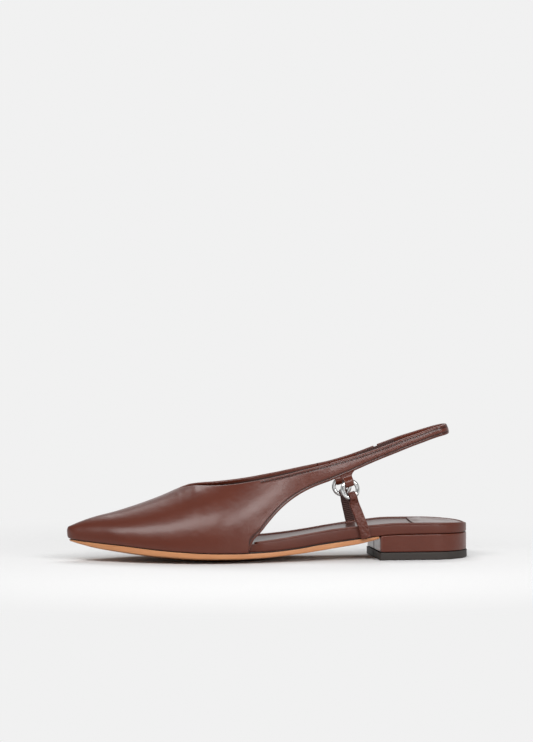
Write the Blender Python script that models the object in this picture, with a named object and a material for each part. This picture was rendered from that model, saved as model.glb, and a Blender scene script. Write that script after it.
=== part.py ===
"""Sling back flat, a left shoe with a pointed toe, a V throat and a low stacked heel.

Metres, +Z up. The toe points to -X, the outer (lateral) side faces -Y, and the origin lies on the
floor under the middle of the heel's top lift. Sizes below are in millimetres and MM turns them into
metres when a mesh is made.
"""

import math

import bmesh
import bpy
import numpy as np
from mathutils import Matrix, Vector

for leftover in list(bpy.data.objects):
    bpy.data.objects.remove(leftover, do_unlink=True)

MM = 0.001
MERGE = 1e-5  # metres
TIP_WIDTH = 1e-6

# Driving dimensions
GAP = 0.3  # clearance between pieces that meet
WALL = 1.8  # upper leather with its lining
TOE_X = -239.5
BACK_X = 32.0
BREAST_X = -32.0  # front face of the heel
HEEL_ROUND_X = 4.0  # where the heel's straight sides turn into its round back
THROAT_X = -165.8  # point of the V
WING_X = -122.6  # where the quarter's rear edge meets the sole
STRAP_X = -66.3  # where the quarter has narrowed to the sling strap
LIFT_HEIGHT = 5.2
SOLE_INSET = 0.8  # the outsole's edge lies inside the upper
SOLE_TIP_INSET = 2.2  # and more so at the tip
TREAD_SHARE = 0.2  # the middle of the sole that is level from side to side
CROWN_POWER = 1.3
BLOCK_INSET = 0.4
FOOTBED_INSET_TOE = 2.8  # inside the upper's wall
FOOTBED_INSET_WAIST = 0.5
NOSE_ROUNDING = 2.9  # how far the nose's top lies behind its front
NOSE_TUCK = 0.9  # how far the nose's foot lies behind its front
NOSE_REACH = 6.0  # how fast both fade along the toe
BULGE = 1.2  # fullness of the upper's sides over the sole's outline
WIDTH_POWER = 0.92
HEIGHT_POWER = 1.08
LEAST_TURN = math.radians(35)
BEND_X = 12.0  # centre of the sling strap's bend round the heel
BEND_RADIUS = 8.0
GORE_FRONT_X = -26.8  # where the strap leather stops at the elastic, medial side
GORE_BACK_X = -24.4
LEATHER = 1.1  # one layer of the small straps
RING_RADIUS = 5.4  # to the middle of the wire
RING_WIRE = 1.5  # wire radius
BAND_WIDTH = 6.5
LEAN = math.radians(16)  # small straps lean towards the toe
PLY = (LEATHER + GAP) / 2  # from the middle of a doubled strap to each of its layers
EYE_DEEP = 2.5  # the turn round the ring's wire, from its middle to the leather's middle
EYE_HIGH = 3.2
EYE_NECK = 4.2
EYE_WIDTH = 5.0
TAB_WIDTH = 5.6
TAB_FLARE = 9.0
TAB_NECK = 3.7  # where the tab's layers start to part round the wire
TAB_LAP = 5.5  # how far the tab's end runs up inside the sling strap
TAB_EASE = 0.15
GORE_LAP = 11.0
GORE_WIDTH = 5.4
GORE_THICK = 0.9
FOOTBED_WIDENS_X = -119.0
FOOTBED_WIDENS_OVER = 6.0
PAD_FRONT_X = -5.0
PAD_INSET = 3.0
PAD_THICK = 1.1


def sections(columns, *rows):
    """A table with one row for each section: a dict from column name to its values."""
    return dict(zip(columns.split(), np.array(rows, float).T))


# The sole from toe to heel: middle of the outline, half width, height of its lower edge, height of
# the tread in the middle, and the level where the upper and the footbed sit on its edge.
SOLE = sections(
    "x centre half edge tread seat",
    (-239.5, 4.5, 0.0, 14.0, 14.0, 15.0),
    (-236.5, 3.6, 5.4, 13.2, 13.0, 14.7),
    (-232.0, 2.7, 7.9, 12.0, 11.7, 14.2),
    (-220.0, 2.2, 15.0, 9.5, 8.5, 13.1),
    (-205.0, 1.5, 23.5, 7.7, 5.9, 11.9),
    (-190.0, 1.2, 30.3, 6.1, 3.6, 10.3),
    (-175.0, 0.6, 35.2, 5.0, 1.7, 8.9),
    (-160.0, -0.3, 37.8, 4.1, 0.2, 7.9),
    (-155.0, -0.8, 38.1, 3.9, 0.0, 7.6),
    (-145.0, -1.7, 38.2, 3.7, 0.0, 7.3),
    (-130.0, -2.8, 36.8, 3.6, 0.0, 7.1),
    (-118.0, -3.5, 34.6, 3.8, 0.6, 7.3),
    (-103.0, -4.0, 31.0, 4.5, 1.9, 7.9),
    (-87.0, -3.9, 27.6, 5.7, 4.0, 9.4),
    (-74.0, -3.3, 25.3, 7.2, 6.1, 11.2),
    (-60.0, -2.0, 24.5, 9.1, 8.4, 12.9),
    (-46.0, -1.1, 25.2, 11.2, 10.9, 14.6),
    (-38.0, -0.6, 25.8, 13.0, 12.9, 15.6),
    (-32.0, -0.4, 26.2, 14.6, 14.5, 16.4),
    (-26.0, -0.2, 26.5, 15.6, 15.6, 17.0),
    (-18.0, 0.0, 26.7, 16.1, 16.1, 17.3),
    (4.0, 0.0, 26.7, 16.2, 16.2, 17.5),
    (32.0, 0.0, 26.7, 16.0, 16.0, 17.3),
)

# Top edge of the footbed on the outer side, how far its middle lies below that edge, and how much
# lower the inner side's edge is.
FOOTBED = sections(
    "x rim dish drop",
    (-239.5, 16.9, 0.3, 0.0),
    (-216.0, 14.9, 1.4, 0.0),
    (-190.0, 12.9, 2.6, 0.0),
    (-160.0, 11.3, 3.8, 0.0),
    (-140.0, 11.8, 3.9, 0.3),
    (-118.0, 14.4, 3.4, 0.9),
    (-103.0, 15.9, 2.8, 1.5),
    (-87.0, 18.0, 2.2, 1.7),
    (-74.0, 19.9, 1.9, 1.6),
    (-60.0, 21.7, 1.7, 1.2),
    (-38.0, 23.5, 1.7, 0.3),
    (-18.0, 24.8, 1.8, 0.0),
    (4.0, 24.7, 1.8, 0.0),
    (32.0, 23.7, 1.2, 0.0),
)

# The ridge of the vamp, from the nose to the V, and the line that it follows in plan.
RIDGE = sections(
    "x z y",
    (-239.5, 21.4, 4.5),
    (-236.6, 23.3, 4.2),
    (-232.0, 25.5, 3.9),
    (-220.0, 29.6, 3.3),
    (-208.0, 32.5, 3.0),
    (-196.0, 35.2, 2.8),
    (-184.0, 39.4, 2.6),
    (-175.0, 43.1, 2.5),
    (-165.8, 47.4, 2.3),
    (-140.0, 60.0, 1.4),
    (-100.0, 80.0, 0.2),
    (-60.0, 99.0, 0.0),
)

# The topline behind the V: distance from the ridge line and height, outer and inner side.
TOPLINE = sections(
    "x outer outer_z inner inner_z",
    (-165.8, 0.0, 47.4, 0.0, 47.4),
    (-160.0, 6.6, 49.7, 6.2, 49.4),
    (-154.0, 12.8, 51.0, 12.0, 50.6),
    (-147.0, 18.0, 51.2, 16.8, 51.0),
    (-140.0, 21.4, 51.1, 20.0, 51.2),
    (-132.0, 24.0, 52.0, 22.6, 51.7),
    (-120.0, 26.4, 54.4, 25.0, 52.8),
    (-100.0, 28.1, 59.3, 26.8, 55.8),
    (-80.0, 28.0, 63.7, 26.8, 59.8),
    (-66.3, 26.8, 66.9, 25.8, 62.8),
)

# The rear edge of the quarters, from the sole up to the sling strap.
WING = sections(
    "x outer_z inner_z",
    (-122.6, 7.2, 7.2),
    (-121.2, 11.2, 11.0),
    (-119.2, 15.4, 15.0),
    (-113.7, 21.2, 20.6),
    (-108.1, 27.8, 26.6),
    (-99.9, 36.2, 34.3),
    (-91.6, 42.6, 40.1),
    (-83.2, 47.7, 44.6),
    (-74.8, 51.4, 47.7),
    (-66.3, 54.5, 50.5),
)

# The sling strap: half the distance between its two runs, height of its lower edge, its width, how
# far it tips back, and how much lower the inner side hangs.
STRAP = sections(
    "x half low width tilt drop",
    (-66.3, 26.8, 54.5, 12.4, 0.0, 4.0),
    (-58.0, 25.2, 57.6, 10.9, 8.0, 4.1),
    (-49.4, 23.4, 60.8, 9.5, 14.0, 3.7),
    (-36.7, 19.8, 65.8, 8.0, 17.0, 2.8),
    (-27.0, 16.8, 69.4, 7.4, 18.0, 1.9),
    (-19.2, 14.2, 72.0, 7.1, 18.0, 1.2),
    (-9.0, 11.2, 75.4, 7.0, 18.0, 0.5),
    (0.0, 9.3, 78.2, 7.0, 18.0, 0.2),
    (12.0, 8.0, 81.8, 7.1, 18.0, 0.0),
    (20.0, 8.0, 83.6, 7.2, 18.0, 0.0),
)

# The small straps on each side: side sign, middle of the ring, foot of the side strap on the sole.
SIDES = sections(
    "sign ring_x ring_y ring_z foot_x",
    (-1, -51.9, 23.2, 47.7, -41.8),
    (1, -49.9, 22.2, 46.4, -41.2),
)


def smooth(x, xs, ys):
    """The monotone cubic through the points (xs, ys), read at x."""
    steps = np.diff(xs)
    rises = np.diff(ys) / steps
    before, after = rises[:-1], rises[1:]
    same_way = before * after > 0
    weights = 3 * (steps[1:] + steps[:-1])
    safe_before = np.where(same_way, before, 1)
    safe_after = np.where(same_way, after, 1)
    mean = weights / ((2 * steps[1:] + steps[:-1]) / safe_before + (steps[1:] + 2 * steps[:-1]) / safe_after)
    slopes = np.concatenate([rises[:1], np.where(same_way, mean, 0), rises[-1:]])
    x = np.clip(np.asarray(x, float), xs[0], xs[-1])
    k = np.clip(np.searchsorted(xs, x, side="right") - 1, 0, len(steps) - 1)
    t = (x - xs[k]) / steps[k]
    start = (1 + 2 * t) * (1 - t) ** 2 * ys[k] + t * (1 - t) ** 2 * steps[k] * slopes[k]
    end = t * t * (3 - 2 * t) * ys[k + 1] - t * t * (1 - t) * steps[k] * slopes[k + 1]
    return start + end


def along(x):
    """The reading coordinate along the shoe: its root makes outlines round at the tip."""
    return np.sqrt(np.maximum(np.asarray(x, float) - TOE_X, 0))


def read(table, column, x):
    """A table's column at x."""
    return smooth(along(x), along(table["x"]), table[column])


def half_width(x):
    """Half the sole's width at x, an ellipse from the heel's straight sides to its back."""
    share = np.clip((np.asarray(x, float) - HEEL_ROUND_X) / (BACK_X - HEEL_ROUND_X), 0, 1)
    return read(SOLE, "half", x) * np.sqrt(1 - share**2)


def outline(stations, inset):
    """Both edges of the sole's outline at the stations, moved inwards by inset, as (x, y) rows."""
    centre, half = read(SOLE, "centre", stations), half_width(stations)
    edges = []
    for sign in (-1, 1):
        points = np.stack([stations, centre + sign * half], 1)
        way = np.gradient(points, axis=0)
        way[0] = (0, sign) if half[0] < TIP_WIDTH else (1, 0)
        way[-1] = (0, -sign) if half[-1] < TIP_WIDTH else (1, 0)
        way /= np.linalg.norm(way, axis=1, keepdims=True)
        inwards = np.stack([sign * way[:, 1], -sign * way[:, 0]], 1)
        edges.append(points + inwards * np.broadcast_to(inset, stations.shape)[:, None])
    return edges


def across(x, y):
    """How far a point lies from the middle of the sole to its edge, 0 to 1."""
    return np.clip(np.abs(y - read(SOLE, "centre", x)) / np.maximum(half_width(x), 1), 0, 1)


def crown(x, y):
    """Height of the sole's underside: level along the middle, then rising to the edge."""
    rise = np.clip((across(x, y) - TREAD_SHARE) / (1 - TREAD_SHARE), 0, 1) ** CROWN_POWER
    tread = read(SOLE, "tread", x)
    return tread + (read(SOLE, "edge", x) - tread) * rise


def sole_top(x, y):
    """The outsole's upper face, its thickness above the underside."""
    return crown(x, y) + read(SOLE, "seat", x) - GAP - read(SOLE, "edge", x)


def footbed_bottom(x, y):
    return sole_top(x, y) + GAP


def footbed_top(x, y):
    """The footbed's upper face, dished between its two edges."""
    inner_share = 0.5 + 0.5 * np.sign(y - read(SOLE, "centre", x)) * across(x, y)
    rim = read(FOOTBED, "rim", x) - read(FOOTBED, "drop", x) * inner_share
    return rim - read(FOOTBED, "dish", x) * (1 - across(x, y) ** 2)


def heel_seat(x, y):
    """Top of the heel block, just under the footbed."""
    return footbed_bottom(x, y) - GAP


def level(height):
    """A flat face at one height."""
    return lambda x, y: np.full(np.shape(x), float(height))


def grid_faces(rows, columns, start=0, flip=False):
    """Quads of a grid of rows by columns points that begins at the vertex start."""
    first = start + np.arange(rows - 1)[:, None] * columns + np.arange(columns - 1)
    quads = np.stack([first, first + columns, first + columns + 1, first + 1], -1).reshape(-1, 4)
    return (quads[:, ::-1] if flip else quads).tolist()


def make(name, grids, material, fill=False):
    """One object from grids of points in millimetres, each (points, flip), joined where they meet."""
    points, faces = [], []
    for grid, flip in grids:
        faces += grid_faces(grid.shape[0], grid.shape[1], sum(map(len, points)), flip)
        points.append(grid.reshape(-1, 3))
    mesh = bpy.data.meshes.new(name)
    mesh.from_pydata((np.concatenate(points) * MM).tolist(), [], faces)
    shape = bmesh.new()
    shape.from_mesh(mesh)
    bmesh.ops.remove_doubles(shape, verts=shape.verts, dist=MERGE)
    if fill:
        bmesh.ops.holes_fill(shape, edges=[e for e in shape.edges if e.is_boundary], sides=0)
        bmesh.ops.recalc_face_normals(shape, faces=shape.faces)
        if shape.calc_volume(signed=True) < 0:
            bmesh.ops.reverse_faces(shape, faces=shape.faces)
    shape.to_mesh(mesh)
    shape.free()
    mesh.materials.append(material)
    mesh.shade_smooth()
    mesh.set_sharp_from_angle(angle=math.radians(40))
    built = bpy.data.objects.new(name, mesh)
    bpy.context.collection.objects.link(built)
    return built


def finish_material(name, colour, roughness, metallic=0.0):
    material = bpy.data.materials.new(name)
    material.use_nodes = True
    shader = material.node_tree.nodes["Principled BSDF"]
    shader.inputs["Base Color"].default_value = (*colour, 1)
    shader.inputs["Roughness"].default_value = roughness
    shader.inputs["Metallic"].default_value = metallic
    return material


def plate(name, stations, inset, top, bottom, rim_top, rim_bottom, material, columns=6):
    """A solid between two height functions over the sole's outline.

    rim_top and rim_bottom are the rounded edge as (distance in from the outline, distance down or up
    from the face), from the face to the side.
    """
    rings = []
    for rim, height, sign in ((rim_bottom, bottom, 1), (rim_top[::-1], top, -1)):
        for inwards, away in rim:
            outer, inner = outline(stations, np.asarray(inset) + inwards)
            ring = [np.column_stack([side, height(side[:, 0], side[:, 1]) + sign * away]) for side in (outer, inner)]
            rings.append(ring)
    grids = [
        (np.stack([ring[side] for ring in rings], 1), side == 1)
        for side in (0, 1)
    ]
    share = np.linspace(0, 1, columns + 1)[None, :, None]
    for ring, height, flip in ((rings[0], bottom, True), (rings[-1], top, False)):
        flat = ring[0][:, None, :2] * (1 - share) + ring[1][:, None, :2] * share
        face = np.concatenate([flat, height(flat[..., 0], flat[..., 1])[..., None]], -1)
        grids.append((face, flip))
    return make(name, grids, material, fill=True)


def toe_stations(last, count):
    """Stations from the toe to last, close together at the tip."""
    return TOE_X + (last - TOE_X) * np.linspace(0, 1, count) ** 2


def heel_stations(first, count):
    """Stations from first to the back of the heel, closer where it is round."""
    straight = np.linspace(first, HEEL_ROUND_X, max(2, int((HEEL_ROUND_X - first) / 9)), endpoint=False)
    turn = np.linspace(0, math.pi / 2, count)
    return np.concatenate([straight, HEEL_ROUND_X + (BACK_X - HEEL_ROUND_X) * np.sin(turn)])


def side_name(sign):
    return "outer" if sign < 0 else "inner"


def upper_top(x, sign):
    """The upper's top edge at x: the ridge up to the V, and behind it the topline."""
    side = side_name(sign)
    spread = np.where(x > THROAT_X, smooth(x, TOPLINE["x"], TOPLINE[side]), 0)
    height = np.where(x > THROAT_X, smooth(x, TOPLINE["x"], TOPLINE[side + "_z"]), read(RIDGE, "z", x))
    return read(RIDGE, "y", x) + sign * spread, height


def upper_section(station, sign, shares):
    """One section of the upper, from its lower edge to its top edge.

    The section is an arc of a superellipse that stands on the sole's outline. The arc is a whole
    quarter under the ridge, and less of it where the topline is cut wider.
    """
    x = station
    edge_y = float(read(SOLE, "centre", x) + sign * half_width(x))
    foot_z = float(read(SOLE, "seat", x))
    fade = math.exp(-(x - TOE_X) / NOSE_REACH)
    top_y, top_z = (float(v) for v in upper_top(np.array(x + NOSE_ROUNDING * fade), sign))
    ridge_y = float(read(RIDGE, "y", x))
    width = max(abs(edge_y - ridge_y), 1e-6)
    cosine = min(abs(top_y - ridge_y) / width, 1) ** (1 / WIDTH_POWER) if x > THROAT_X else 0
    turn = max(math.acos(cosine), LEAST_TURN)
    low = 0.0
    if x > WING_X:
        low_z = float(smooth(x, WING["x"], WING[side_name(sign) + "_z"]))
        rise = (low_z - foot_z) / (top_z - foot_z) * math.sin(turn) ** HEIGHT_POWER
        low = math.asin(max(rise, 0) ** (1 / HEIGHT_POWER)) / turn
    v = low + (1 - low) * shares
    angle = v * turn
    out = (1 - np.clip(np.cos(angle), 0, 1) ** WIDTH_POWER) / (1 - max(math.cos(turn), 0) ** WIDTH_POWER)
    up = np.sin(angle) ** HEIGHT_POWER / math.sin(turn) ** HEIGHT_POWER
    fullness = BULGE * np.sin(np.pi * v) * min(width / 20, 1)
    y = edge_y + (top_y - edge_y) * out + sign * fullness
    z = foot_z + (top_z - foot_z) * up
    shift = (NOSE_TUCK * (1 - v) ** 4 + NOSE_ROUNDING * v**4) * fade
    return np.column_stack([x + shift, y, z])


def strap_point(x, y, drop_share):
    """Lower and upper edge of the sling strap where its plan passes (x, y)."""
    low = float(smooth(x, STRAP["x"], STRAP["low"]) - drop_share * smooth(x, STRAP["x"], STRAP["drop"]))
    width = float(smooth(x, STRAP["x"], STRAP["width"]))
    tilt = math.radians(float(smooth(x, STRAP["x"], STRAP["tilt"])))
    lower = np.array([x, y, low])
    return lower, lower + width * np.array([-math.sin(tilt), 0, math.cos(tilt)])


def sling_edge(x, sign):
    """The strap's lower edge at x on one side."""
    return strap_point(x, sign * float(smooth(x, STRAP["x"], STRAP["half"])), 1.0 if sign > 0 else 0.0)[0]


def strap_plan(sign, last_x, count):
    """Points of one run of the strap in plan, from the quarter to last_x."""
    xs = np.linspace(STRAP_X, last_x, count + 1)[1:]
    return [(float(x), sign * float(smooth(x, STRAP["x"], STRAP["half"]))) for x in xs]


def bend_plan(count):
    """Points of the bend round the heel, from the outer side to the inner side."""
    angles = np.linspace(-math.pi / 2, math.pi / 2, count + 1)[1:]
    return [(BEND_X + BEND_RADIUS * math.cos(a), BEND_RADIUS * math.sin(a)) for a in angles]


def strap_rows(plan, shares):
    """Sections of the strap at the plan's points, each from its lower to its upper edge."""
    rows = []
    for x, y in plan:
        lower, upper = strap_point(x, y, 1.0 if y > 0 else 0.0)
        rows.append(lower + (upper - lower) * shares[:, None])
    return rows


def upper():
    """Vamp, both quarters and the sling strap: one hollow wall, open at the top, sides and below."""
    shares = np.linspace(0, 1, 11)
    toe = TOE_X + (THROAT_X - TOE_X) * np.linspace(0, 1, 17) ** 1.6
    throat = np.linspace(THROAT_X, WING_X, 9)[1:]
    wing = np.array([-121.2, -119.2, -116.6, -113.7, -108.1, -100.0, -91.6, -83.2, -74.8, STRAP_X])
    stations = np.concatenate([toe, throat, wing])
    grids = []
    for sign in (-1, 1):
        rows = [upper_section(float(x), sign, shares) for x in stations]
        if sign < 0:
            run_back = strap_plan(-1, BEND_X, 10)
            run_home = [(x, -y) for x, y in run_back[::-1][1:] if x > GORE_BACK_X]
            gore_end = (GORE_BACK_X, float(smooth(GORE_BACK_X, STRAP["x"], STRAP["half"])))
            rows += strap_rows(run_back + bend_plan(10) + run_home + [gore_end], shares)
        else:
            rows += strap_rows(strap_plan(1, GORE_FRONT_X, 5), shares)
        grids.append((np.stack(rows), sign > 0))
    built = make("upper", grids, LEATHER_FINISH)
    wall = built.modifiers.new("wall", "SOLIDIFY")
    wall.thickness = WALL * MM
    wall.offset = -1
    wall.use_even_offset = True
    return built


def band(name, path, ways, widths, thickness, material):
    """A flat strip of leather: a rectangle carried along a path.

    ways are the directions across the strip, and the strip's thickness is laid evenly on both sides
    of the path.
    """
    path, ways = np.asarray(path, float), np.asarray(ways, float)
    tangent = np.gradient(path, axis=0)
    facing = np.cross(tangent, ways)
    facing /= np.linalg.norm(facing, axis=1, keepdims=True)
    half_across = ways * np.asarray(widths, float).reshape(-1, 1) / 2
    half_deep = facing * thickness / 2
    corners = [half_across + half_deep, half_deep - half_across, -half_across - half_deep, half_across - half_deep]
    loop = np.stack([path + corner for corner in corners + corners[:1]], 1)
    return make(name, [(loop, False)], material, fill=True)


def unit(vector):
    return np.asarray(vector, float) / np.linalg.norm(vector)


def strap_frame(side):
    """The ring's middle and its directions: along the small straps, across them, and outwards."""
    sign = int(side["sign"])
    ring = np.array([side["ring_x"], sign * side["ring_y"], side["ring_z"]])
    up = np.array([-math.sin(LEAN), 0, math.cos(LEAN)])
    ahead, behind = (smooth(side["ring_x"] + step, STRAP["x"], STRAP["half"]) for step in (-3, 3))
    across_way = np.array([1, -sign * float(ahead - behind) / 6, math.tan(LEAN)])
    across_way = unit(across_way - across_way.dot(up) * up)
    return sign, ring, up, across_way, -sign * np.cross(across_way, up)


def eye_turn(eye, up, facing):
    """Half an ellipse over the ring's wire, from the outer face to the inner face."""
    angles = np.linspace(0, math.pi, 9)
    return [eye + EYE_DEEP * math.cos(a) * facing + EYE_HIGH * math.sin(a) * up for a in angles]


def side_strap(side):
    """A strap doubled over the ring's lower wire, both ends laid together down the sole's side."""
    sign, ring, up, across_way, facing = strap_frame(side)
    eye = ring - RING_RADIUS * up
    foot_x = float(side["foot_x"])
    rim_z, foot_z = float(read(FOOTBED, "rim", foot_x)) + 1, float(read(SOLE, "seat", foot_x)) + GAP
    foot_y = read(SOLE, "centre", foot_x) + sign * (half_width(foot_x) - FOOTBED_INSET_WAIST + GAP + PLY + LEATHER / 2)
    foot = np.array([foot_x, float(foot_y), foot_z])
    rim = foot + (rim_z - foot_z) * np.array([-math.tan(LEAN), 0, 1])
    neck = eye - EYE_NECK * up
    spine = [foot, (foot + rim) / 2, rim, rim * 0.7 + neck * 0.3, rim * 0.35 + neck * 0.65, neck]
    out_run = [point + PLY * facing for point in spine]
    back_run = [point - PLY * facing for point in spine[::-1]]
    path = out_run + eye_turn(eye, up, facing) + back_run
    ways = blend_ways(path, np.array([math.cos(LEAN), 0, math.sin(LEAN)]), across_way, foot_z, neck[2])
    widths = np.interp(np.array(path)[:, 2], [neck[2], eye[2]], [BAND_WIDTH, EYE_WIDTH])
    return band("side_strap_" + side_name(sign), path, ways, widths, LEATHER, LEATHER_FINISH)


def blend_ways(path, low_way, high_way, low_z, high_z):
    """Directions across a strap that turn from low_way to high_way with the height."""
    share = np.clip((np.array(path)[:, 2] - low_z) / (high_z - low_z), 0, 1)[:, None]
    ways = low_way * (1 - share) + high_way * share
    return ways / np.linalg.norm(ways, axis=1, keepdims=True)


def ring_tab(side):
    """A tab under the sling strap, doubled round the ring's upper wire and up the strap's inside."""
    sign, ring, up, across_way, facing = strap_frame(side)
    eye = ring + RING_RADIUS * up
    reach = 5.0
    for _ in range(8):
        lower = sling_edge(eye[0] + reach * up[0], sign)
        reach = (lower[2] - eye[2]) / up[2]
    strap_y = abs(lower[1])
    front = sign * (strap_y - WALL / 2) - eye[1]
    back = sign * (strap_y - WALL - GAP - LEATHER / 2 - TAB_EASE) - eye[1]
    sideways = np.array([0, 1, 0])
    front_run = [eye + h * up + front * sideways for h in (reach - GAP, (reach + TAB_NECK) / 2, TAB_NECK)]
    back_run = [eye + h * up + back * sideways for h in (TAB_NECK, reach, reach + TAB_LAP)]
    path = front_run + eye_turn(eye, -up, facing) + back_run
    widths = [TAB_FLARE, BAND_WIDTH + 1, BAND_WIDTH] + [TAB_WIDTH] * 9 + [BAND_WIDTH] * 3
    edge_ahead, edge_behind = (sling_edge(lower[0] + step, sign) for step in (-3, 3))
    ways = blend_ways(path, across_way, unit(edge_behind - edge_ahead), eye[2], lower[2])
    return band("ring_tab_" + side_name(sign), path, ways, widths, LEATHER, LEATHER_FINISH)


def ring(side):
    """The steel ring that joins tab and side strap. Its object's Z axis is the axis it turns on."""
    sign, middle, up, across_way, facing = strap_frame(side)
    bpy.ops.mesh.primitive_torus_add(
        major_segments=24, minor_segments=10, major_radius=RING_RADIUS * MM, minor_radius=RING_WIRE * MM
    )
    built = bpy.context.object
    built.name = "ring_" + side_name(sign)
    turn = Matrix((across_way, up, np.cross(across_way, up))).transposed()
    built.matrix_world = Matrix.Translation(Vector(middle * MM)) @ turn.to_4x4()
    built.data.materials.append(STEEL_FINISH)
    built.data.shade_smooth()
    return built


def elastic_gore():
    """A short elastic behind the gap in the inner run of the strap."""
    xs = np.linspace(GORE_FRONT_X - GORE_LAP, GORE_BACK_X + GORE_LAP, 9)
    half = smooth(xs, STRAP["x"], STRAP["half"])
    slope = np.gradient(half, xs)
    depth = (WALL + GAP + GORE_THICK / 2 + TAB_EASE) / np.sqrt(1 + slope**2)
    path, ways = [], []
    for x, y, dy, deep in zip(xs, half, slope, depth):
        lower, upper_edge = strap_point(float(x), float(y), 1.0)
        path.append((lower + upper_edge) / 2 + np.array([dy * deep, -deep, 0]))
        ways.append(unit(upper_edge - lower))
    return band("elastic_gore", path, ways, [GORE_WIDTH] * len(path), GORE_THICK, ELASTIC_FINISH)


def footbed_inset(stations):
    """The footbed lies inside the upper's wall in front, and fills the outline behind the quarters."""
    share = np.clip((stations - FOOTBED_WIDENS_X) / FOOTBED_WIDENS_OVER, 0, 1)
    share = share * share * (3 - 2 * share)
    return FOOTBED_INSET_TOE + (FOOTBED_INSET_WAIST - FOOTBED_INSET_TOE) * share


def sole_and_heel():
    """Outsole, footbed, heel block, top lift and heel pad, from the ground up."""
    small_edge = [(0.5, 0.0), (0.15, 0.15), (0.0, 0.5)]
    stations = toe_stations(BREAST_X - 0.6, 34)
    inset = SOLE_INSET + SOLE_TIP_INSET * np.exp((TOE_X - stations) / NOSE_REACH)
    plate("outsole", stations, inset, sole_top, crown, [(0.0, 0.0)], small_edge, SOLE_FINISH, columns=10)
    stations = np.concatenate([toe_stations(-126, 22), [-122, -119, -116, -113], heel_stations(-106, 10)])
    plate(
        "footbed", stations, footbed_inset(stations), footbed_top, footbed_bottom,
        [(1.3, 0.0), (0.4, 0.4), (0.0, 1.3)], [(1.0, 0.0), (0.3, 0.3), (0.0, 1.0)], LEATHER_FINISH,
    )
    heel = heel_stations(BREAST_X, 12)
    plate(
        "heel_block", heel, BLOCK_INSET, heel_seat, level(LIFT_HEIGHT + GAP),
        small_edge, [(0.0, 0.0)], LEATHER_FINISH, columns=4,
    )
    plate(
        "top_lift", heel, 0.0, level(LIFT_HEIGHT), level(0.0),
        [(0.3, 0.0), (0.0, 0.3)], small_edge, RUBBER_FINISH, columns=4,
    )
    plate(
        "heel_pad", heel_stations(PAD_FRONT_X, 10), PAD_INSET,
        lambda x, y: footbed_top(x, y) + GAP + PAD_THICK, lambda x, y: footbed_top(x, y) + GAP,
        small_edge, [(0.0, 0.0)], LEATHER_FINISH, columns=6,
    )


LEATHER_FINISH = finish_material("brown_leather", (0.13, 0.05, 0.035), 0.38)
SOLE_FINISH = finish_material("tan_sole_leather", (0.55, 0.27, 0.11), 0.5)
RUBBER_FINISH = finish_material("dark_top_lift", (0.045, 0.035, 0.03), 0.6)
ELASTIC_FINISH = finish_material("elastic", (0.05, 0.022, 0.018), 0.8)
STEEL_FINISH = finish_material("polished_steel", (0.75, 0.75, 0.74), 0.12, 1.0)

upper()
sole_and_heel()
elastic_gore()
for row in range(2):
    one_side = {column: values[row] for column, values in SIDES.items()}
    side_strap(one_side)
    ring_tab(one_side)
    ring(one_side)
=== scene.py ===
# %% [markdown]
# # A sling back flat, dressed for its portrait
#
# The solids of this left shoe come as a fixed frame. They have the right forms and sizes, but plain
# faces. This lesson makes the visible shoe around them: fine leather surfaces, stitches, steel rings
# and a soft studio. The toe points to -X, the outer side faces -Y and the floor is at height 0.
# Sizes are in millimetres, as a shoemaker writes them, and MM turns them into metres.

# %% Load the frame
import math

import bmesh
import bpy
import numpy as np
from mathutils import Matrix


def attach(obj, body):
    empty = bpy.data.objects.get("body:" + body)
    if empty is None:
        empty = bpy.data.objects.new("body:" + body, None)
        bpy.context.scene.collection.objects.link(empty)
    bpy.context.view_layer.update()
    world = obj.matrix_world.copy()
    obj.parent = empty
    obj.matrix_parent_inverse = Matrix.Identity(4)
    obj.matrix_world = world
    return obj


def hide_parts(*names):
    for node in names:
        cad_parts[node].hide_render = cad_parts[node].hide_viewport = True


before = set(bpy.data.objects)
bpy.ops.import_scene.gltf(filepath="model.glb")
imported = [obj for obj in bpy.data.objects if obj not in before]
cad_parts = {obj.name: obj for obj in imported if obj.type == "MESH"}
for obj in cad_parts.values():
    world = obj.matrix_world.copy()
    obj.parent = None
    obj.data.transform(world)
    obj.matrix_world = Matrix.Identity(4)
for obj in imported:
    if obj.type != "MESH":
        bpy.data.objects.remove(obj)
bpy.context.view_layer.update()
MM = 0.001
print("solids in the frame:", ", ".join(sorted(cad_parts)))

# %% [markdown]
# ## The camera
#
# The photograph was taken with a long lens, a little from the toe's side and barely above the floor.
# The angles below were fitted to the outline of the sole, the heel and the rings. A lens this long
# keeps the two sides of the shoe almost parallel. The camera is placed on a sphere round a point of the
# floor and then turned, with no lens shift, so every other view can use it too.

# %% Camera
PIXELS_HIGH = 742
FOCAL_PIXELS = 3259.0
SENSOR = 36.0
ORBIT = {"azimuth": math.radians(-8.331), "elevation": math.radians(5.426), "distance": 2.2}
LOOK = {"azimuth": math.radians(-8.304), "down": math.radians(2.135)}
AIM_X = -0.104

flat_reach = ORBIT["distance"] * math.cos(ORBIT["elevation"])
camera_data = bpy.data.cameras.new("portrait_camera")
camera_data.sensor_fit = "AUTO"
camera_data.sensor_width = SENSOR
camera_data.lens = FOCAL_PIXELS * SENSOR / PIXELS_HIGH
camera = bpy.data.objects.new("portrait_camera", camera_data)
camera.location = (
    AIM_X + flat_reach * math.sin(ORBIT["azimuth"]),
    -flat_reach * math.cos(ORBIT["azimuth"]),
    ORBIT["distance"] * math.sin(ORBIT["elevation"]),
)
camera.rotation_euler = (math.pi / 2 - LOOK["down"], 0, LOOK["azimuth"])
bpy.context.collection.objects.link(camera)
bpy.context.scene.camera = camera
print("camera at", [round(v, 3) for v in camera.location], "lens", round(camera_data.lens, 1), "mm")

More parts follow.
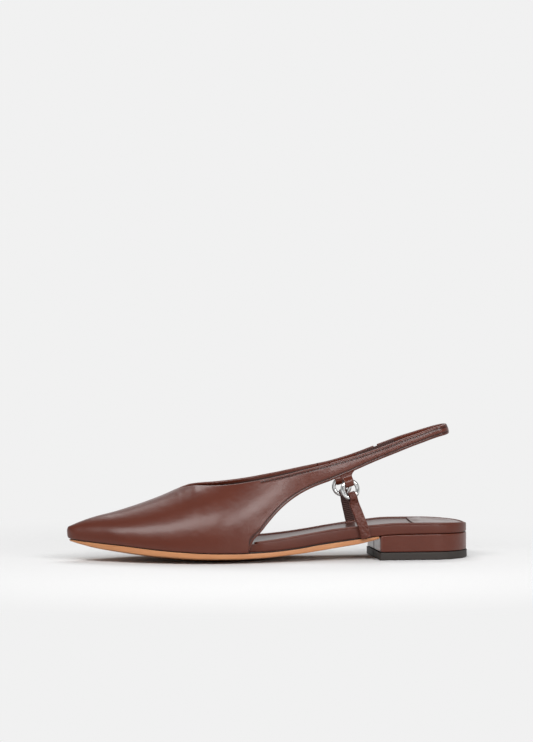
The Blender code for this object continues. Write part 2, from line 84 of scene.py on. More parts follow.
# %% [markdown]
# ## Reading a shoe from its sections
#
# A last is drawn as sections: a few stations along the foot, each with a width and some heights.
# Between the stations we need a curve that passes through every value and never overshoots. The
# monotone cubic does that: its slope at a station is the harmonic mean of the slopes on both sides,
# and zero at a peak. Near the tip the values are read along the root of the distance from the toe,
# which turns the pointed outline round, as real toes are.

# %% Tables and curves
TOE_X = -239.5


def sections(columns, *rows):
    """A table: a dict from each column's name to the array of its values."""
    return dict(zip(columns.split(), np.array(rows, float).T))


def hermite(t, step, ends, slopes):
    """The cubic from ends[0] to ends[1] over a step, with the slopes at both, at the share t."""
    start = (1 + 2 * t) * (1 - t) ** 2 * ends[0] + t * (1 - t) ** 2 * step * slopes[0]
    return start + t * t * (3 - 2 * t) * ends[1] - t * t * (1 - t) * step * slopes[1]


def smooth(x, xs, ys):
    """Monotone cubic through (xs, ys) at x: the cubic Hermite form with harmonic-mean slopes."""
    steps = np.diff(xs)
    rises = np.diff(ys) / steps
    before, after = rises[:-1], rises[1:]
    same_way = before * after > 0
    safe_before, safe_after = np.where(same_way, before, 1), np.where(same_way, after, 1)
    weights = 3 * (steps[1:] + steps[:-1])
    mean = weights / ((2 * steps[1:] + steps[:-1]) / safe_before + (steps[1:] + 2 * steps[:-1]) / safe_after)
    slopes = np.concatenate([rises[:1], np.where(same_way, mean, 0), rises[-1:]])
    x = np.clip(np.asarray(x, float), xs[0], xs[-1])
    k = np.clip(np.searchsorted(xs, x, side="right") - 1, 0, len(steps) - 1)
    return hermite((x - xs[k]) / steps[k], steps[k], (ys[k], ys[k + 1]), (slopes[k], slopes[k + 1]))


def along(x):
    """Distance from the toe under a square root."""
    return np.sqrt(np.maximum(np.asarray(x, float) - TOE_X, 0))


def read(table, column, x):
    """A column of a table at x, read along the root coordinate."""
    return smooth(along(x), along(table["x"]), table[column])


def ease(x, start, end):
    """0 before start, 1 after end, and the cubic 3t^2 - 2t^3 between them."""
    t = np.clip((np.asarray(x, float) - start) / (end - start), 0, 1)
    return t * t * (3 - 2 * t)


# %% [markdown]
# The tables repeat the shapes that the solids were built from, so a dressed piece lies on its solid.
# Only some heights of the ridge, the topline and the strap differ, by a millimetre or so, because the
# sheen and the edges in the photograph ask for it. The sole's table gives the middle of the outline,
# half its width, the height of its lower edge, the height of the tread in the middle and the seat,
# where upper and insole rest on its edge. The footbed's gives its rim, the depth of its dish and how
# much lower its inner side lies. The strap's gives half the way between its two runs, its lower edge,
# its width, its tilt in degrees and how much lower the inner run hangs.

# %% The shoe's sections
SOLE = sections(
    "x centre half edge tread seat",
    (-239.5, 4.5, 0.0, 14.0, 14.0, 15.0),
    (-236.5, 3.6, 5.4, 13.2, 13.0, 14.7),
    (-232.0, 2.7, 7.9, 12.0, 11.7, 14.2),
    (-220.0, 2.2, 15.0, 9.5, 8.5, 13.1),
    (-205.0, 1.5, 23.5, 7.7, 5.9, 11.9),
    (-190.0, 1.2, 30.3, 6.1, 3.6, 10.3),
    (-175.0, 0.6, 35.2, 5.0, 1.7, 8.9),
    (-160.0, -0.3, 37.8, 4.1, 0.2, 7.9),
    (-155.0, -0.8, 38.1, 3.9, 0.0, 7.6),
    (-145.0, -1.7, 38.2, 3.7, 0.0, 7.3),
    (-130.0, -2.8, 36.8, 3.6, 0.0, 7.1),
    (-118.0, -3.5, 34.6, 3.8, 0.6, 7.3),
    (-103.0, -4.0, 31.0, 4.5, 1.9, 7.9),
    (-87.0, -3.9, 27.6, 5.7, 4.0, 9.4),
    (-74.0, -3.3, 25.3, 7.2, 6.1, 11.2),
    (-60.0, -2.0, 24.5, 9.1, 8.4, 12.9),
    (-46.0, -1.1, 25.2, 11.2, 10.9, 14.6),
    (-38.0, -0.6, 25.8, 13.0, 12.9, 15.6),
    (-32.0, -0.4, 26.2, 14.6, 14.5, 16.4),
    (-26.0, -0.2, 26.5, 15.6, 15.6, 17.0),
    (-18.0, 0.0, 26.7, 16.1, 16.1, 17.3),
    (4.0, 0.0, 26.7, 16.2, 16.2, 17.5),
    (32.0, 0.0, 26.7, 16.0, 16.0, 17.3),
)
FOOTBED = sections(
    "x rim dish drop",
    (-239.5, 16.9, 0.3, 0.0),
    (-216.0, 14.9, 1.4, 0.0),
    (-190.0, 12.9, 2.6, 0.0),
    (-160.0, 11.3, 3.8, 0.0),
    (-140.0, 11.8, 3.9, 0.3),
    (-118.0, 14.4, 3.4, 0.9),
    (-103.0, 15.9, 2.8, 1.5),
    (-87.0, 18.0, 2.2, 1.7),
    (-74.0, 19.9, 1.9, 1.6),
    (-60.0, 21.7, 1.7, 1.2),
    (-38.0, 23.5, 1.7, 0.3),
    (-18.0, 24.8, 1.8, 0.0),
    (4.0, 24.7, 1.8, 0.0),
    (32.0, 23.7, 1.2, 0.0),
)
RIDGE = sections(
    "x z y",
    (-239.5, 21.4, 4.5),
    (-236.6, 23.3, 4.2),
    (-232.0, 25.5, 3.9),
    (-220.0, 29.6, 3.3),
    (-208.0, 32.5, 3.0),
    (-196.0, 36.0, 2.8),
    (-184.0, 40.0, 2.6),
    (-175.0, 43.4, 2.5),
    (-165.8, 47.4, 2.3),
    (-140.0, 60.0, 1.4),
    (-100.0, 80.0, 0.2),
    (-60.0, 99.0, 0.0),
)
TOPLINE = sections(
    "x outer outer_z inner inner_z",
    (-165.8, 0.0, 47.4, 0.0, 47.4),
    (-160.0, 6.6, 49.7, 6.2, 49.4),
    (-154.0, 12.8, 51.0, 12.0, 50.6),
    (-147.0, 18.0, 51.2, 16.8, 51.0),
    (-140.0, 21.4, 51.5, 20.0, 51.2),
    (-132.0, 24.0, 52.2, 22.6, 51.7),
    (-120.0, 26.4, 54.0, 25.0, 52.8),
    (-100.0, 28.1, 57.8, 26.8, 55.8),
    (-80.0, 28.0, 62.4, 26.8, 59.6),
    (-66.3, 26.8, 65.6, 25.8, 62.4),
)
WING = sections(
    "x outer_z inner_z",
    (-122.6, 7.2, 7.2),
    (-121.2, 11.2, 11.0),
    (-119.2, 15.4, 15.0),
    (-113.7, 21.2, 20.6),
    (-108.1, 27.8, 26.6),
    (-99.9, 36.2, 34.3),
    (-91.6, 42.6, 40.1),
    (-83.2, 47.4, 44.6),
    (-74.8, 50.9, 47.7),
    (-66.3, 53.7, 50.5),
)
STRAP = sections(
    "x half low width tilt drop",
    (-66.3, 26.8, 53.7, 11.9, 0.0, 3.2),
    (-58.0, 25.2, 56.8, 10.6, 8.0, 3.3),
    (-49.4, 23.4, 60.0, 9.4, 14.0, 2.9),
    (-36.7, 19.8, 64.9, 8.0, 17.0, 1.9),
    (-27.0, 16.8, 68.4, 7.5, 18.0, 0.9),
    (-19.2, 14.2, 71.0, 7.4, 18.0, 0.2),
    (-9.0, 11.2, 74.6, 7.3, 18.0, -0.3),
    (0.0, 9.3, 77.6, 7.1, 18.0, -0.4),
    (12.0, 8.0, 81.6, 7.1, 18.0, 0.0),
    (20.0, 8.0, 83.6, 7.2, 18.0, 0.0),
)
SIDES = sections(
    "sign ring_x ring_y ring_z foot_x",
    (-1, -51.9, 23.2, 47.7, -41.8),
    (1, -49.9, 22.2, 46.4, -41.2),
)
BACK_X = 32.0
HEEL_ROUND_X = 4.0
BREAST_X = -32.0
THROAT_X = -165.8
WING_X = -122.6
STRAP_X = -66.3
GAP = 0.3
print("sole", BACK_X - TOE_X, "mm long and", 2 * SOLE["half"].max(), "mm wide")

# %% [markdown]
# ## From arrays of points to a mesh
#
# Every new piece is one or more grids of points. A grid of rows by columns needs no list of faces of
# its own: the four corners of a face follow from its place in the grid. Grids that share an edge are
# welded, holes are closed, and a closed piece that came out inside out is turned round. The face's
# slot says which of the piece's materials it takes. Extruding and insetting by hand would give such
# meshes too, but arrays keep the formula of each shape in sight.

# %% Mesh helpers
def grid_quads(rows, columns, start, flip):
    """Corner numbers of every face of a grid, as one array."""
    first = start + np.arange(rows - 1)[:, None] * columns + np.arange(columns - 1)
    quads = np.stack([first, first + columns, first + columns + 1, first + 1], -1).reshape(-1, 4)
    return quads[:, ::-1] if flip else quads


def build(name, grids, materials, weld=1e-6, fill=True, marks=None, label="along"):
    """An object from grids (points in mm, flip, slot); marks holds one labelled value for each point."""
    points, quads, slots, count = [], [], [], 0
    for grid, flip, slot in grids:
        faces = grid_quads(grid.shape[0], grid.shape[1], count, flip)
        points.append(grid.reshape(-1, 3))
        quads.append(faces)
        slots.append(np.broadcast_to(slot, len(faces)))
        count += grid.shape[0] * grid.shape[1]
    mesh = bpy.data.meshes.new(name)
    mesh.from_pydata((np.concatenate(points) * MM).tolist(), [], np.concatenate(quads).tolist())
    mesh.polygons.foreach_set("material_index", np.concatenate(slots).astype(np.int32))
    if marks is not None:
        layer = mesh.attributes.new(label, "FLOAT", "POINT")
        layer.data.foreach_set("value", np.concatenate([m.reshape(-1) for m in marks]).astype(np.float32))
    shape = bmesh.new()
    shape.from_mesh(mesh)
    bmesh.ops.remove_doubles(shape, verts=shape.verts, dist=weld)
    bmesh.ops.dissolve_degenerate(shape, edges=shape.edges, dist=weld / 10)
    if fill:
        bmesh.ops.holes_fill(shape, edges=[e for e in shape.edges if e.is_boundary], sides=0)
        bmesh.ops.recalc_face_normals(shape, faces=shape.faces)
        if shape.calc_volume(signed=True) < 0:
            bmesh.ops.reverse_faces(shape, faces=shape.faces)
    shape.to_mesh(mesh)
    shape.free()
    mesh.shade_smooth()
    for material in materials:
        mesh.materials.append(material)
    piece = bpy.data.objects.new(name, mesh)
    bpy.context.collection.objects.link(piece)
    print(f"{name}: {len(mesh.polygons)} faces")
    return piece


def unit(vectors):
    """Vectors divided by their length."""
    vectors = np.asarray(vectors, float)
    return vectors / np.maximum(np.linalg.norm(vectors, axis=-1, keepdims=True), 1e-12)


def travelled(line):
    """The distance along a line of points, at each of them."""
    return np.concatenate([[0], np.cumsum(np.linalg.norm(np.diff(line, axis=0), axis=1))])


def dressed(piece, slot, *nodes, body="shoe"):
    """The piece rides on a body and stands for the named solids, which it hides. The slot is not used."""
    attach(piece, body)
    if nodes:
        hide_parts(*nodes)
    return piece


# %% [markdown]
# ## Finishes
#
# Smooth calf leather has three scales of surface: a fine grain of cells under half a millimetre, a
# slow unevenness of some millimetres that makes highlights ripple, and slight changes of tone where
# the dye sits deeper. They are one node group with named inputs, placed in every leather with its own
# values. The group gives out a height, a tone and a gloss variation, never a shader, so each material
# keeps its own Principled shader. A scanned image could do the same, but it would repeat itself and
# blur close up, where noise in three dimensions stays sharp and needs no unwrapping.

# %% Node groups
GRAIN_HEIGHT = 0.000018
RIPPLE_HEIGHT = 0.00016


def new_group(name, inputs, outputs):
    """An empty shader node group with named float inputs and outputs, and its two end nodes."""
    group = bpy.data.node_groups.new(name, "ShaderNodeTree")
    for label, value in inputs.items():
        socket = group.interface.new_socket(label, in_out="INPUT", socket_type="NodeSocketFloat")
        socket.default_value = value
    for label in outputs:
        group.interface.new_socket(label, in_out="OUTPUT", socket_type="NodeSocketFloat")
    return group, group.nodes.new("NodeGroupInput"), group.nodes.new("NodeGroupOutput")


def node(tree, kind, **settings):
    """A new node; settings that name a socket set its value, the others set the node itself."""
    made = tree.nodes.new(kind)
    for key, value in settings.items():
        if key in made.inputs:
            made.inputs[key].default_value = value
        else:
            setattr(made, key, value)
    return made


def calc(tree, operation, first, second):
    """A Math node of two values, each a socket or a number."""
    made = tree.nodes.new("ShaderNodeMath")
    made.operation = operation
    for slot, value in enumerate((first, second)):
        if isinstance(value, (int, float)):
            made.inputs[slot].default_value = value
        else:
            tree.links.new(value, made.inputs[slot])
    return made.outputs[0]


def leather_group():
    """Height, tone and gloss of a smooth leather from Object coordinates."""
    inputs = {"Cell": 0.45, "Grain": 1.0, "Ripple": 1.0, "Wave": 130.0}
    group, start, end = new_group("calf_leather", inputs, ("Height", "Tone", "Gloss"))
    place = node(group, "ShaderNodeTexCoord")
    rate = calc(group, "DIVIDE", 1000.0, start.outputs["Cell"])
    cells = node(group, "ShaderNodeTexVoronoi", feature="SMOOTH_F1", Smoothness=0.6, Randomness=1.0)
    pores = node(group, "ShaderNodeTexNoise", Detail=3.0, Roughness=0.55)
    slow = node(group, "ShaderNodeTexNoise", Detail=2.0, Roughness=0.45)
    tone = node(group, "ShaderNodeTexNoise", Scale=42.0, Detail=4.0, Roughness=0.6)
    for texture in (cells, pores, slow, tone):
        group.links.new(place.outputs["Object"], texture.inputs["Vector"])
    group.links.new(rate, cells.inputs["Scale"])
    group.links.new(start.outputs["Wave"], slow.inputs["Scale"])
    group.links.new(calc(group, "MULTIPLY", rate, 0.45), pores.inputs["Scale"])
    fine = calc(group, "ADD", cells.outputs["Distance"], calc(group, "MULTIPLY", pores.outputs[0], 0.8))
    grain_high = calc(group, "MULTIPLY", start.outputs["Grain"], GRAIN_HEIGHT)
    ripple_high = calc(group, "MULTIPLY", start.outputs["Ripple"], RIPPLE_HEIGHT)
    grain = calc(group, "MULTIPLY", fine, grain_high)
    ripple = calc(group, "MULTIPLY", slow.outputs[0], ripple_high)
    group.links.new(calc(group, "ADD", grain, ripple), end.inputs["Height"])
    group.links.new(tone.outputs[0], end.inputs["Tone"])
    group.links.new(calc(group, "ADD", pores.outputs[0], tone.outputs[0]), end.inputs["Gloss"])
    return group


def linear(red, green, blue):
    """A colour from 0-255 picture values to the linear values that shaders use."""
    value = np.array([red, green, blue]) / 255
    return tuple(np.where(value <= 0.04045, value / 12.92, ((value + 0.055) / 1.055) ** 2.4)) + (1.0,)


def blank_finish(name):
    """A new material with its node tree and its Principled shader."""
    material = bpy.data.materials.new(name)
    material.use_nodes = True
    return material, material.node_tree, material.node_tree.nodes["Principled BSDF"]


def two_dyes(tree, dark, light, share):
    """The colour between two dyes, dark where share is 0 and light where it is 1."""
    colours = node(tree, "ShaderNodeMix", data_type="RGBA", A=linear(*dark), B=linear(*light))
    tree.links.new(share, colours.inputs["Factor"])
    return colours.outputs["Result"]


def surface(tree, shader, colour, roughness, height):
    """Feeds a colour, a roughness and, through a Bump node, a height in metres to the shader."""
    bump = node(tree, "ShaderNodeBump", Strength=1.0, Distance=1.0)
    tree.links.new(colour, shader.inputs["Base Color"])
    tree.links.new(roughness, shader.inputs["Roughness"])
    tree.links.new(height, bump.inputs["Height"])
    tree.links.new(bump.outputs["Normal"], shader.inputs["Normal"])


def leather(
    name, dark, light, roughness,
    cell=0.45, grain=1.0, ripple=1.0, wave=130.0, coat=0.0, coat_rough=0.3, shine=0.33,
):
    """A leather finish: tone mixes two dyes, gloss varies the roughness, height bumps the surface.

    Shine is the specular level: wax and pores make leather mirror less than bare plastic. The mesh may
    carry an attribute "seam", 1 along the stitch grooves, where a near-black colour paints their shade.
    """
    material, tree, shader = blank_finish(name)
    made = tree.nodes.new("ShaderNodeGroup")
    made.node_tree = LEATHER_GROUP
    for label, value in (("Cell", cell), ("Grain", grain), ("Ripple", ripple), ("Wave", wave)):
        made.inputs[label].default_value = value
    # Painted shade: the attribute "seam" mixes the dyes towards a near-black brown along the stitch grooves.
    seam = node(tree, "ShaderNodeAttribute", attribute_name="seam")
    seam_shaded = node(tree, "ShaderNodeMix", data_type="RGBA", B=linear(30, 14, 10))
    tree.links.new(seam.outputs["Fac"], seam_shaded.inputs["Factor"])
    tree.links.new(two_dyes(tree, dark, light, made.outputs["Tone"]), seam_shaded.inputs["A"])
    varied = calc(tree, "ADD", calc(tree, "MULTIPLY", made.outputs["Gloss"], 0.1), roughness - 0.1)
    surface(tree, shader, seam_shaded.outputs["Result"], varied, made.outputs["Height"])
    shader.inputs["Specular IOR Level"].default_value = shine
    shader.inputs["Coat Weight"].default_value = coat
    shader.inputs["Coat Roughness"].default_value = coat_rough
    return material


LEATHER_GROUP = leather_group()
HIGH_GLOSS = {"coat": 0.4, "coat_rough": 0.12}
CALF = leather("calf_reddish_brown", (73, 25, 9), (84, 34, 16), 0.36, ripple=2.0, coat=0.25, coat_rough=0.2)
LINING = leather("lining_leather", (46, 23, 17), (58, 30, 23), 0.55, cell=0.6)
WRAP = leather("insole_wrap_leather", (70, 25, 11), (81, 34, 18), 0.42, coat=0.1)
SOCK = leather("insole_sock_leather", (62, 32, 25), (76, 42, 34), 0.40, ripple=1.6, coat=0.5, coat_rough=0.14)
GLAZED = leather("glazed_heel_leather", (80, 40, 31), (96, 54, 44), 0.32, ripple=3.4, **HIGH_GLOSS)
PADDED = leather("padded_heel_sock_leather", (66, 31, 22), (82, 43, 33), 0.36, ripple=5, **HIGH_GLOSS)
CREASED = leather("creased_strap_leather", (50, 17, 9), (94, 42, 27), 0.42, grain=2.6, ripple=9, wave=420)
THREAD = leather("thread_brown", (62, 25, 15), (80, 36, 24), 0.85, cell=0.25, ripple=0, shine=0.05)
print("leathers:", ", ".join(m.name for m in bpy.data.materials if m.node_tree and "leather" in m.name))

# %% [markdown]
# The sole's leather is tan and only waxed, and its edge shows thin layers, pressed together. The lift
# is moulded rubber with a fine matt texture. The rings are polished steel, almost a mirror. The elastic
# is woven, with ribs across its length, so its pattern follows the strip and not the room: the mesh
# carries the distance along it as an attribute. One noise each is enough for rubber, steel and the
# near-black paint of the feather's shadow.

# %% Sole, rubber, steel and elastic
RIB_HEIGHT = 0.00016


def sole_finish():
    """Tan leather with thin pressed layers along its height and soft fibre noise."""
    material, tree, shader = blank_finish("tan_sole_leather")
    place = node(tree, "ShaderNodeTexCoord")
    stretch = node(tree, "ShaderNodeMapping", Scale=(60.0, 60.0, 1400.0))
    fibre = node(tree, "ShaderNodeTexNoise", Scale=1.0, Detail=3.0, Roughness=0.6)
    patches = node(tree, "ShaderNodeTexNoise", Scale=70.0, Detail=3.0, Roughness=0.5)
    tree.links.new(place.outputs["Object"], stretch.inputs["Vector"])
    tree.links.new(stretch.outputs["Vector"], fibre.inputs["Vector"])
    tree.links.new(place.outputs["Object"], patches.inputs["Vector"])
    layers = calc(tree, "MULTIPLY", fibre.outputs[0], 0.5)
    mixed = calc(tree, "ADD", layers, calc(tree, "MULTIPLY", patches.outputs[0], 0.5))
    colour = two_dyes(tree, (150, 92, 54), (188, 133, 88), mixed)
    varied = calc(tree, "ADD", calc(tree, "MULTIPLY", fibre.outputs[0], 0.2), 0.38)
    surface(tree, shader, colour, varied, calc(tree, "MULTIPLY", fibre.outputs[0], 0.00006))
    return material


def plain_finish(name, dark, light, roughness, scale, height, metallic=0.0):
    """A finish whose colour, roughness and relief all follow one fine noise."""
    material, tree, shader = blank_finish(name)
    shader.inputs["Metallic"].default_value = metallic
    place = node(tree, "ShaderNodeTexCoord")
    noise = node(tree, "ShaderNodeTexNoise", Scale=scale, Detail=4.0, Roughness=0.6)
    tree.links.new(place.outputs["Object"], noise.inputs["Vector"])
    varied = calc(tree, "ADD", calc(tree, "MULTIPLY", noise.outputs[0], 0.1), roughness)
    relief = calc(tree, "MULTIPLY", noise.outputs[0], height)
    surface(tree, shader, two_dyes(tree, dark, light, noise.outputs[0]), varied, relief)
    return material


def elastic_finish(name, dark, light, pitch):
    """Webbing: a sine of the distance along the strip makes the ribs, fine noise the yarn."""
    material = plain_finish(name, dark, light, 0.75, 900.0, 0.00002)
    tree = material.node_tree
    distance = node(tree, "ShaderNodeAttribute", attribute_name="along")
    wave = calc(tree, "SINE", calc(tree, "MULTIPLY", distance.outputs["Fac"], 2 * math.pi / pitch), 0.0)
    ribs = calc(tree, "MULTIPLY", wave, RIB_HEIGHT)
    bump = next(n for n in tree.nodes if n.type == "BUMP")
    before = bump.inputs["Height"].links[0].from_socket
    tree.links.new(calc(tree, "ADD", before, ribs), bump.inputs["Height"])
    return material


TAN = sole_finish()
RUBBER = plain_finish("dark_lift_rubber", (31, 25, 21), (42, 35, 30), 0.6, 1200.0, 0.00003)
# Painted shadow: a near-black colour for the plate that stands in for the shadow along the feather.
FEATHER_SHADOW = plain_finish("painted_feather_shadow", (26, 15, 13), (34, 20, 17), 0.7, 700.0, 0.00004)
STEEL = plain_finish("polished_steel", (205, 206, 206), (222, 222, 221), 0.06, 90.0, 0.000004, metallic=1.0)
WEBBING = elastic_finish("ribbed_webbing", (52, 29, 25), (68, 39, 33), 1.4)
print("finishes in all:", len(bpy.data.materials))

# %% [markdown]
# ## The upper
#
# Vamp, quarters and the sling strap are cut in one and closed over the last, so one surface describes
# them all. Its rows are sections across the shoe and its columns run from the lower edge up to the
# topline. In front of the throat a section is a quarter of a superellipse from the sole to the ridge,
# behind it less than a quarter, up to the topline. Past the quarter the section is the strap itself.
# A cage under a Subdivision Surface is the usual way to model this, but it rounds off the very edges
# that seams have to follow, and sections keep them exact.

# %% The upper as a function
WALL = 1.8
NOSE_ROUNDING = 2.9
NOSE_TUCK = 0.9
NOSE_REACH = 6.0
BULGE = 1.2
WIDTH_POWER = 0.92
HEIGHT_POWER = 1.08
LEAST_TURN = math.radians(35)
BEND_X = 12.0
BEND_RADIUS = 8.0
GORE_FRONT_X = -26.8
GORE_BACK_X = -24.4


def half_width(x):
    """Half the outline: the table, and past the heel's middle an ellipse to the back."""
    share = np.clip((np.asarray(x, float) - HEEL_ROUND_X) / (BACK_X - HEEL_ROUND_X), 0, 1)
    return read(SOLE, "half", x) * np.sqrt(1 - share**2)


def side_name(sign):
    """The word for a side: the outer side has the sign -1."""
    return "outer" if sign < 0 else "inner"


def top_edge(x, sign):
    """(y, z) of the upper's top edge: the ridge in front of the throat, the topline behind it."""
    side = side_name(sign)
    spread = np.where(x > THROAT_X, smooth(x, TOPLINE["x"], TOPLINE[side]), 0)
    height = np.where(x > THROAT_X, smooth(x, TOPLINE["x"], TOPLINE[side + "_z"]), read(RIDGE, "z", x))
    return read(RIDGE, "y", x) + sign * spread, height


def shell_point(x, v, sign):
    """Vamp and quarter at station x and share v from the lower edge (0) to the top edge (1).

    With angle = v * turn: outwards share (1 - cos^a) and height share sin^b, both scaled to end at the
    top edge, plus a fullness of sin(pi v) over the sole's outline.
    """
    edge_y = read(SOLE, "centre", x) + sign * half_width(x)
    foot_z = read(SOLE, "seat", x)
    fade = np.exp(-(x - TOE_X) / NOSE_REACH)
    top_y, top_z = top_edge(x + NOSE_ROUNDING * fade, sign)
    ridge_y = read(RIDGE, "y", x)
    width = np.maximum(np.abs(edge_y - ridge_y), 1e-6)
    cosine = np.where(x > THROAT_X, np.minimum(np.abs(top_y - ridge_y) / width, 1) ** (1 / WIDTH_POWER), 0)
    turn = np.maximum(np.arccos(cosine), LEAST_TURN)
    low_z = smooth(x, WING["x"], WING[side_name(sign) + "_z"])
    rise = np.clip((low_z - foot_z) / (top_z - foot_z) * np.sin(turn) ** HEIGHT_POWER, 0, 1)
    low = np.where(x > WING_X, np.arcsin(rise ** (1 / HEIGHT_POWER)) / turn, 0)
    v = low + (1 - low) * v
    angle = v * turn
    full_turn = 1 - np.maximum(np.cos(turn), 0) ** WIDTH_POWER
    out = (1 - np.clip(np.cos(angle), 0, 1) ** WIDTH_POWER) / full_turn
    up = np.sin(angle) ** HEIGHT_POWER / np.sin(turn) ** HEIGHT_POWER
    fullness = BULGE * np.sin(np.pi * v) * np.minimum(width / 20, 1)
    y = edge_y + (top_y - edge_y) * out + sign * fullness
    z = foot_z + (top_z - foot_z) * up
    shift = (NOSE_TUCK * (1 - v) ** 4 + NOSE_ROUNDING * v**4) * fade
    return np.stack(np.broadcast_arrays(x + shift, y, z), -1)


def strap_edges(x, y):
    """Lower and upper edge of the sling strap over plan points; the inner run hangs lower."""
    drop = smooth(x, STRAP["x"], STRAP["drop"]) * (y > 0)
    low = smooth(x, STRAP["x"], STRAP["low"]) - drop
    width = smooth(x, STRAP["x"], STRAP["width"])
    tilt = np.radians(smooth(x, STRAP["x"], STRAP["tilt"]))
    lower = np.stack([x, y, low], -1)
    return lower, lower + width[..., None] * np.stack([-np.sin(tilt), 0 * tilt, np.cos(tilt)], -1)


def strap_plan(sign):
    """The strap's path seen from above: back along one side, and for the outer side round the heel too."""
    last = BEND_X if sign < 0 else GORE_FRONT_X
    xs = np.linspace(STRAP_X, last, int((last - STRAP_X) / 1.1))[1:]
    plan = np.stack([xs, sign * smooth(xs, STRAP["x"], STRAP["half"])], 1)
    if sign > 0:
        return plan
    angles = np.linspace(-math.pi / 2, math.pi / 2, 40)[1:]
    bend = np.stack([BEND_X + BEND_RADIUS * np.cos(angles), BEND_RADIUS * np.sin(angles)], 1)
    home = np.linspace(BEND_X, GORE_BACK_X, 34)[1:]
    return np.concatenate([plan, bend, np.stack([home, smooth(home, STRAP["x"], STRAP["half"])], 1)])


# %% [markdown]
# Leather at an edge is skived, folded and pressed, so an edge is round, and a row of stitches pulls a
# shallow groove beside it. Both are made by moving the points of the surface inwards: near an edge the
# depth follows a quarter circle to the middle of the wall, and along the stitch line a small bell
# curve. The lining is the same surface at the far side of the wall, so the two meet in a round edge.
# Columns are spaced by their distance from the edge, which keeps the round edge equally fine
# everywhere. On a steep rear edge the distance is stretched, so that it is measured across the edge.
# Solidify and Bevel could make the wall and its edge, but not the groove beside it.

# %% The upper's surface
EDGE_STEPS = np.array([0, 0.06, 0.22, 0.45, 0.72, 1.0])
STITCH_IN = 1.8
NEAR_EDGE = np.concatenate([EDGE_STEPS * WALL / 2, STITCH_IN + np.array([-0.35, 0, 0.35, 0.7])])
MIDDLE_COLUMNS = 24
FIRST_COLUMNS = 61
LEAST_ACROSS = 0.3
EDGES_SHARE = 0.8
STRAP_BLEND = 26.0


def upper_rows(sign):
    """Row stations of one side: the shell's x, and the strap's plan behind it."""
    toe = TOE_X + np.linspace(0, math.sqrt(THROAT_X - TOE_X), 120) ** 2
    start = THROAT_X + np.array([0.12, 0.35, 0.7, 1.2, 1.8])
    body = np.arange(THROAT_X + 2.6, WING_X - 0.2, 1.0)
    wing = WING_X + np.array([0, 0.1, 0.25, 0.45, 0.7, 1.0, 1.4, 1.9, 2.4, 2.9, 3.4, 4.0, 4.7, 5.5, 6.3])
    quarter = np.arange(wing[-1] + 0.9, STRAP_X - 0.4, 1.0)
    return np.concatenate([toe, start, body, wing, quarter, [STRAP_X]]), strap_plan(sign)


def section_rows(stations, plan, sign, v):
    """Points of all rows at the shares v, an array of rows by columns.

    The strap's rows are straight. Near the quarter they add what its last section has over a straight
    line, and the small step between their ends, both faded out over STRAP_BLEND.
    """
    count = len(stations)
    shell = shell_point(stations[:, None], v[:count], sign)
    lower, upper = strap_edges(plan[:, 0], plan[:, 1])
    share = v[count:, :, None]
    flat = lower[:, None] * (1 - share) + upper[:, None] * share
    last = shell_point(np.full((1, 1), STRAP_X), v[count:], sign)
    ends = shell_point(np.full((1, 1), STRAP_X), np.array([[0.0, 1.0]]), sign)
    straight = ends[:, :1] * (1 - share) + ends[:, 1:] * share
    step = (ends[:, :1] - lower[0]) * (1 - share) + (ends[:, 1:] - upper[0]) * share
    fade = 1 - ease(plan[:, 0], STRAP_X, STRAP_X + STRAP_BLEND)
    return np.concatenate([shell, flat + (last - straight + step) * fade[:, None, None]])


def upper_surface(sign):
    """One side of the upper: its surface points, unit normals and the distances from both edges."""
    stations, plan = upper_rows(sign)
    rows = len(stations) + len(plan)
    even = np.linspace(0, 1, FIRST_COLUMNS)
    first = section_rows(stations, plan, sign, np.broadcast_to(even, (rows, FIRST_COLUMNS)))
    steps = np.linalg.norm(np.diff(first, axis=1), axis=2)
    length = steps.sum(1)
    stretch = []
    for column, way in ((0, first[:, 1] - first[:, 0]), (-1, first[:, -2] - first[:, -1])):
        edge = unit(np.gradient(first[:, column], axis=0))
        way = unit(way)
        aside = np.linalg.norm(way - (way * edge).sum(1)[:, None] * edge, axis=1)
        stretch.append(1 / np.maximum(aside, LEAST_ACROSS))
    low_reach, high_reach = (NEAR_EDGE[-1] * s for s in stretch)
    fit = np.minimum(1, EDGES_SHARE * length / (low_reach + high_reach))
    from_low = NEAR_EDGE[None] * (stretch[0] * fit)[:, None]
    from_high = NEAR_EDGE[None] * (stretch[1] * fit)[:, None]
    middle = np.linspace(0, 1, MIDDLE_COLUMNS + 2)[1:-1]
    gap = (length - from_low[:, -1] - from_high[:, -1])[:, None]
    between = from_low[:, -1:] + middle * gap
    travel = np.concatenate([from_low, between, length[:, None] - from_high[:, ::-1]], 1)
    arcs = np.concatenate([np.zeros((rows, 1)), np.cumsum(steps, 1)], 1)
    share = np.stack([np.interp(t, a, even) for t, a in zip(travel, arcs)])
    points = section_rows(stations, plan, sign, share)
    normals = -sign * unit(np.cross(np.gradient(points, axis=0), np.gradient(points, axis=1)))
    low_distance = travel / stretch[0][:, None]
    high_distance = (length[:, None] - travel) / stretch[1][:, None]
    return {"points": points, "normals": normals, "low": low_distance, "high": high_distance}


surfaces = {sign: upper_surface(sign) for sign in (-1, 1)}
shell_rows = len(upper_rows(-1)[0])
throat_row = int(np.argmax(upper_rows(-1)[0] > THROAT_X + 0.01))
for rows, columns in ((slice(0, throat_row), -1), (0, slice(None))):
    shared = unit(surfaces[-1]["normals"][rows, columns] + surfaces[1]["normals"][rows, columns])
    surfaces[-1]["normals"][rows, columns] = shared
    surfaces[1]["normals"][rows, columns] = shared
for sign, found in surfaces.items():
    print(side_name(sign), "side of the upper, rows and columns:", found["low"].shape)
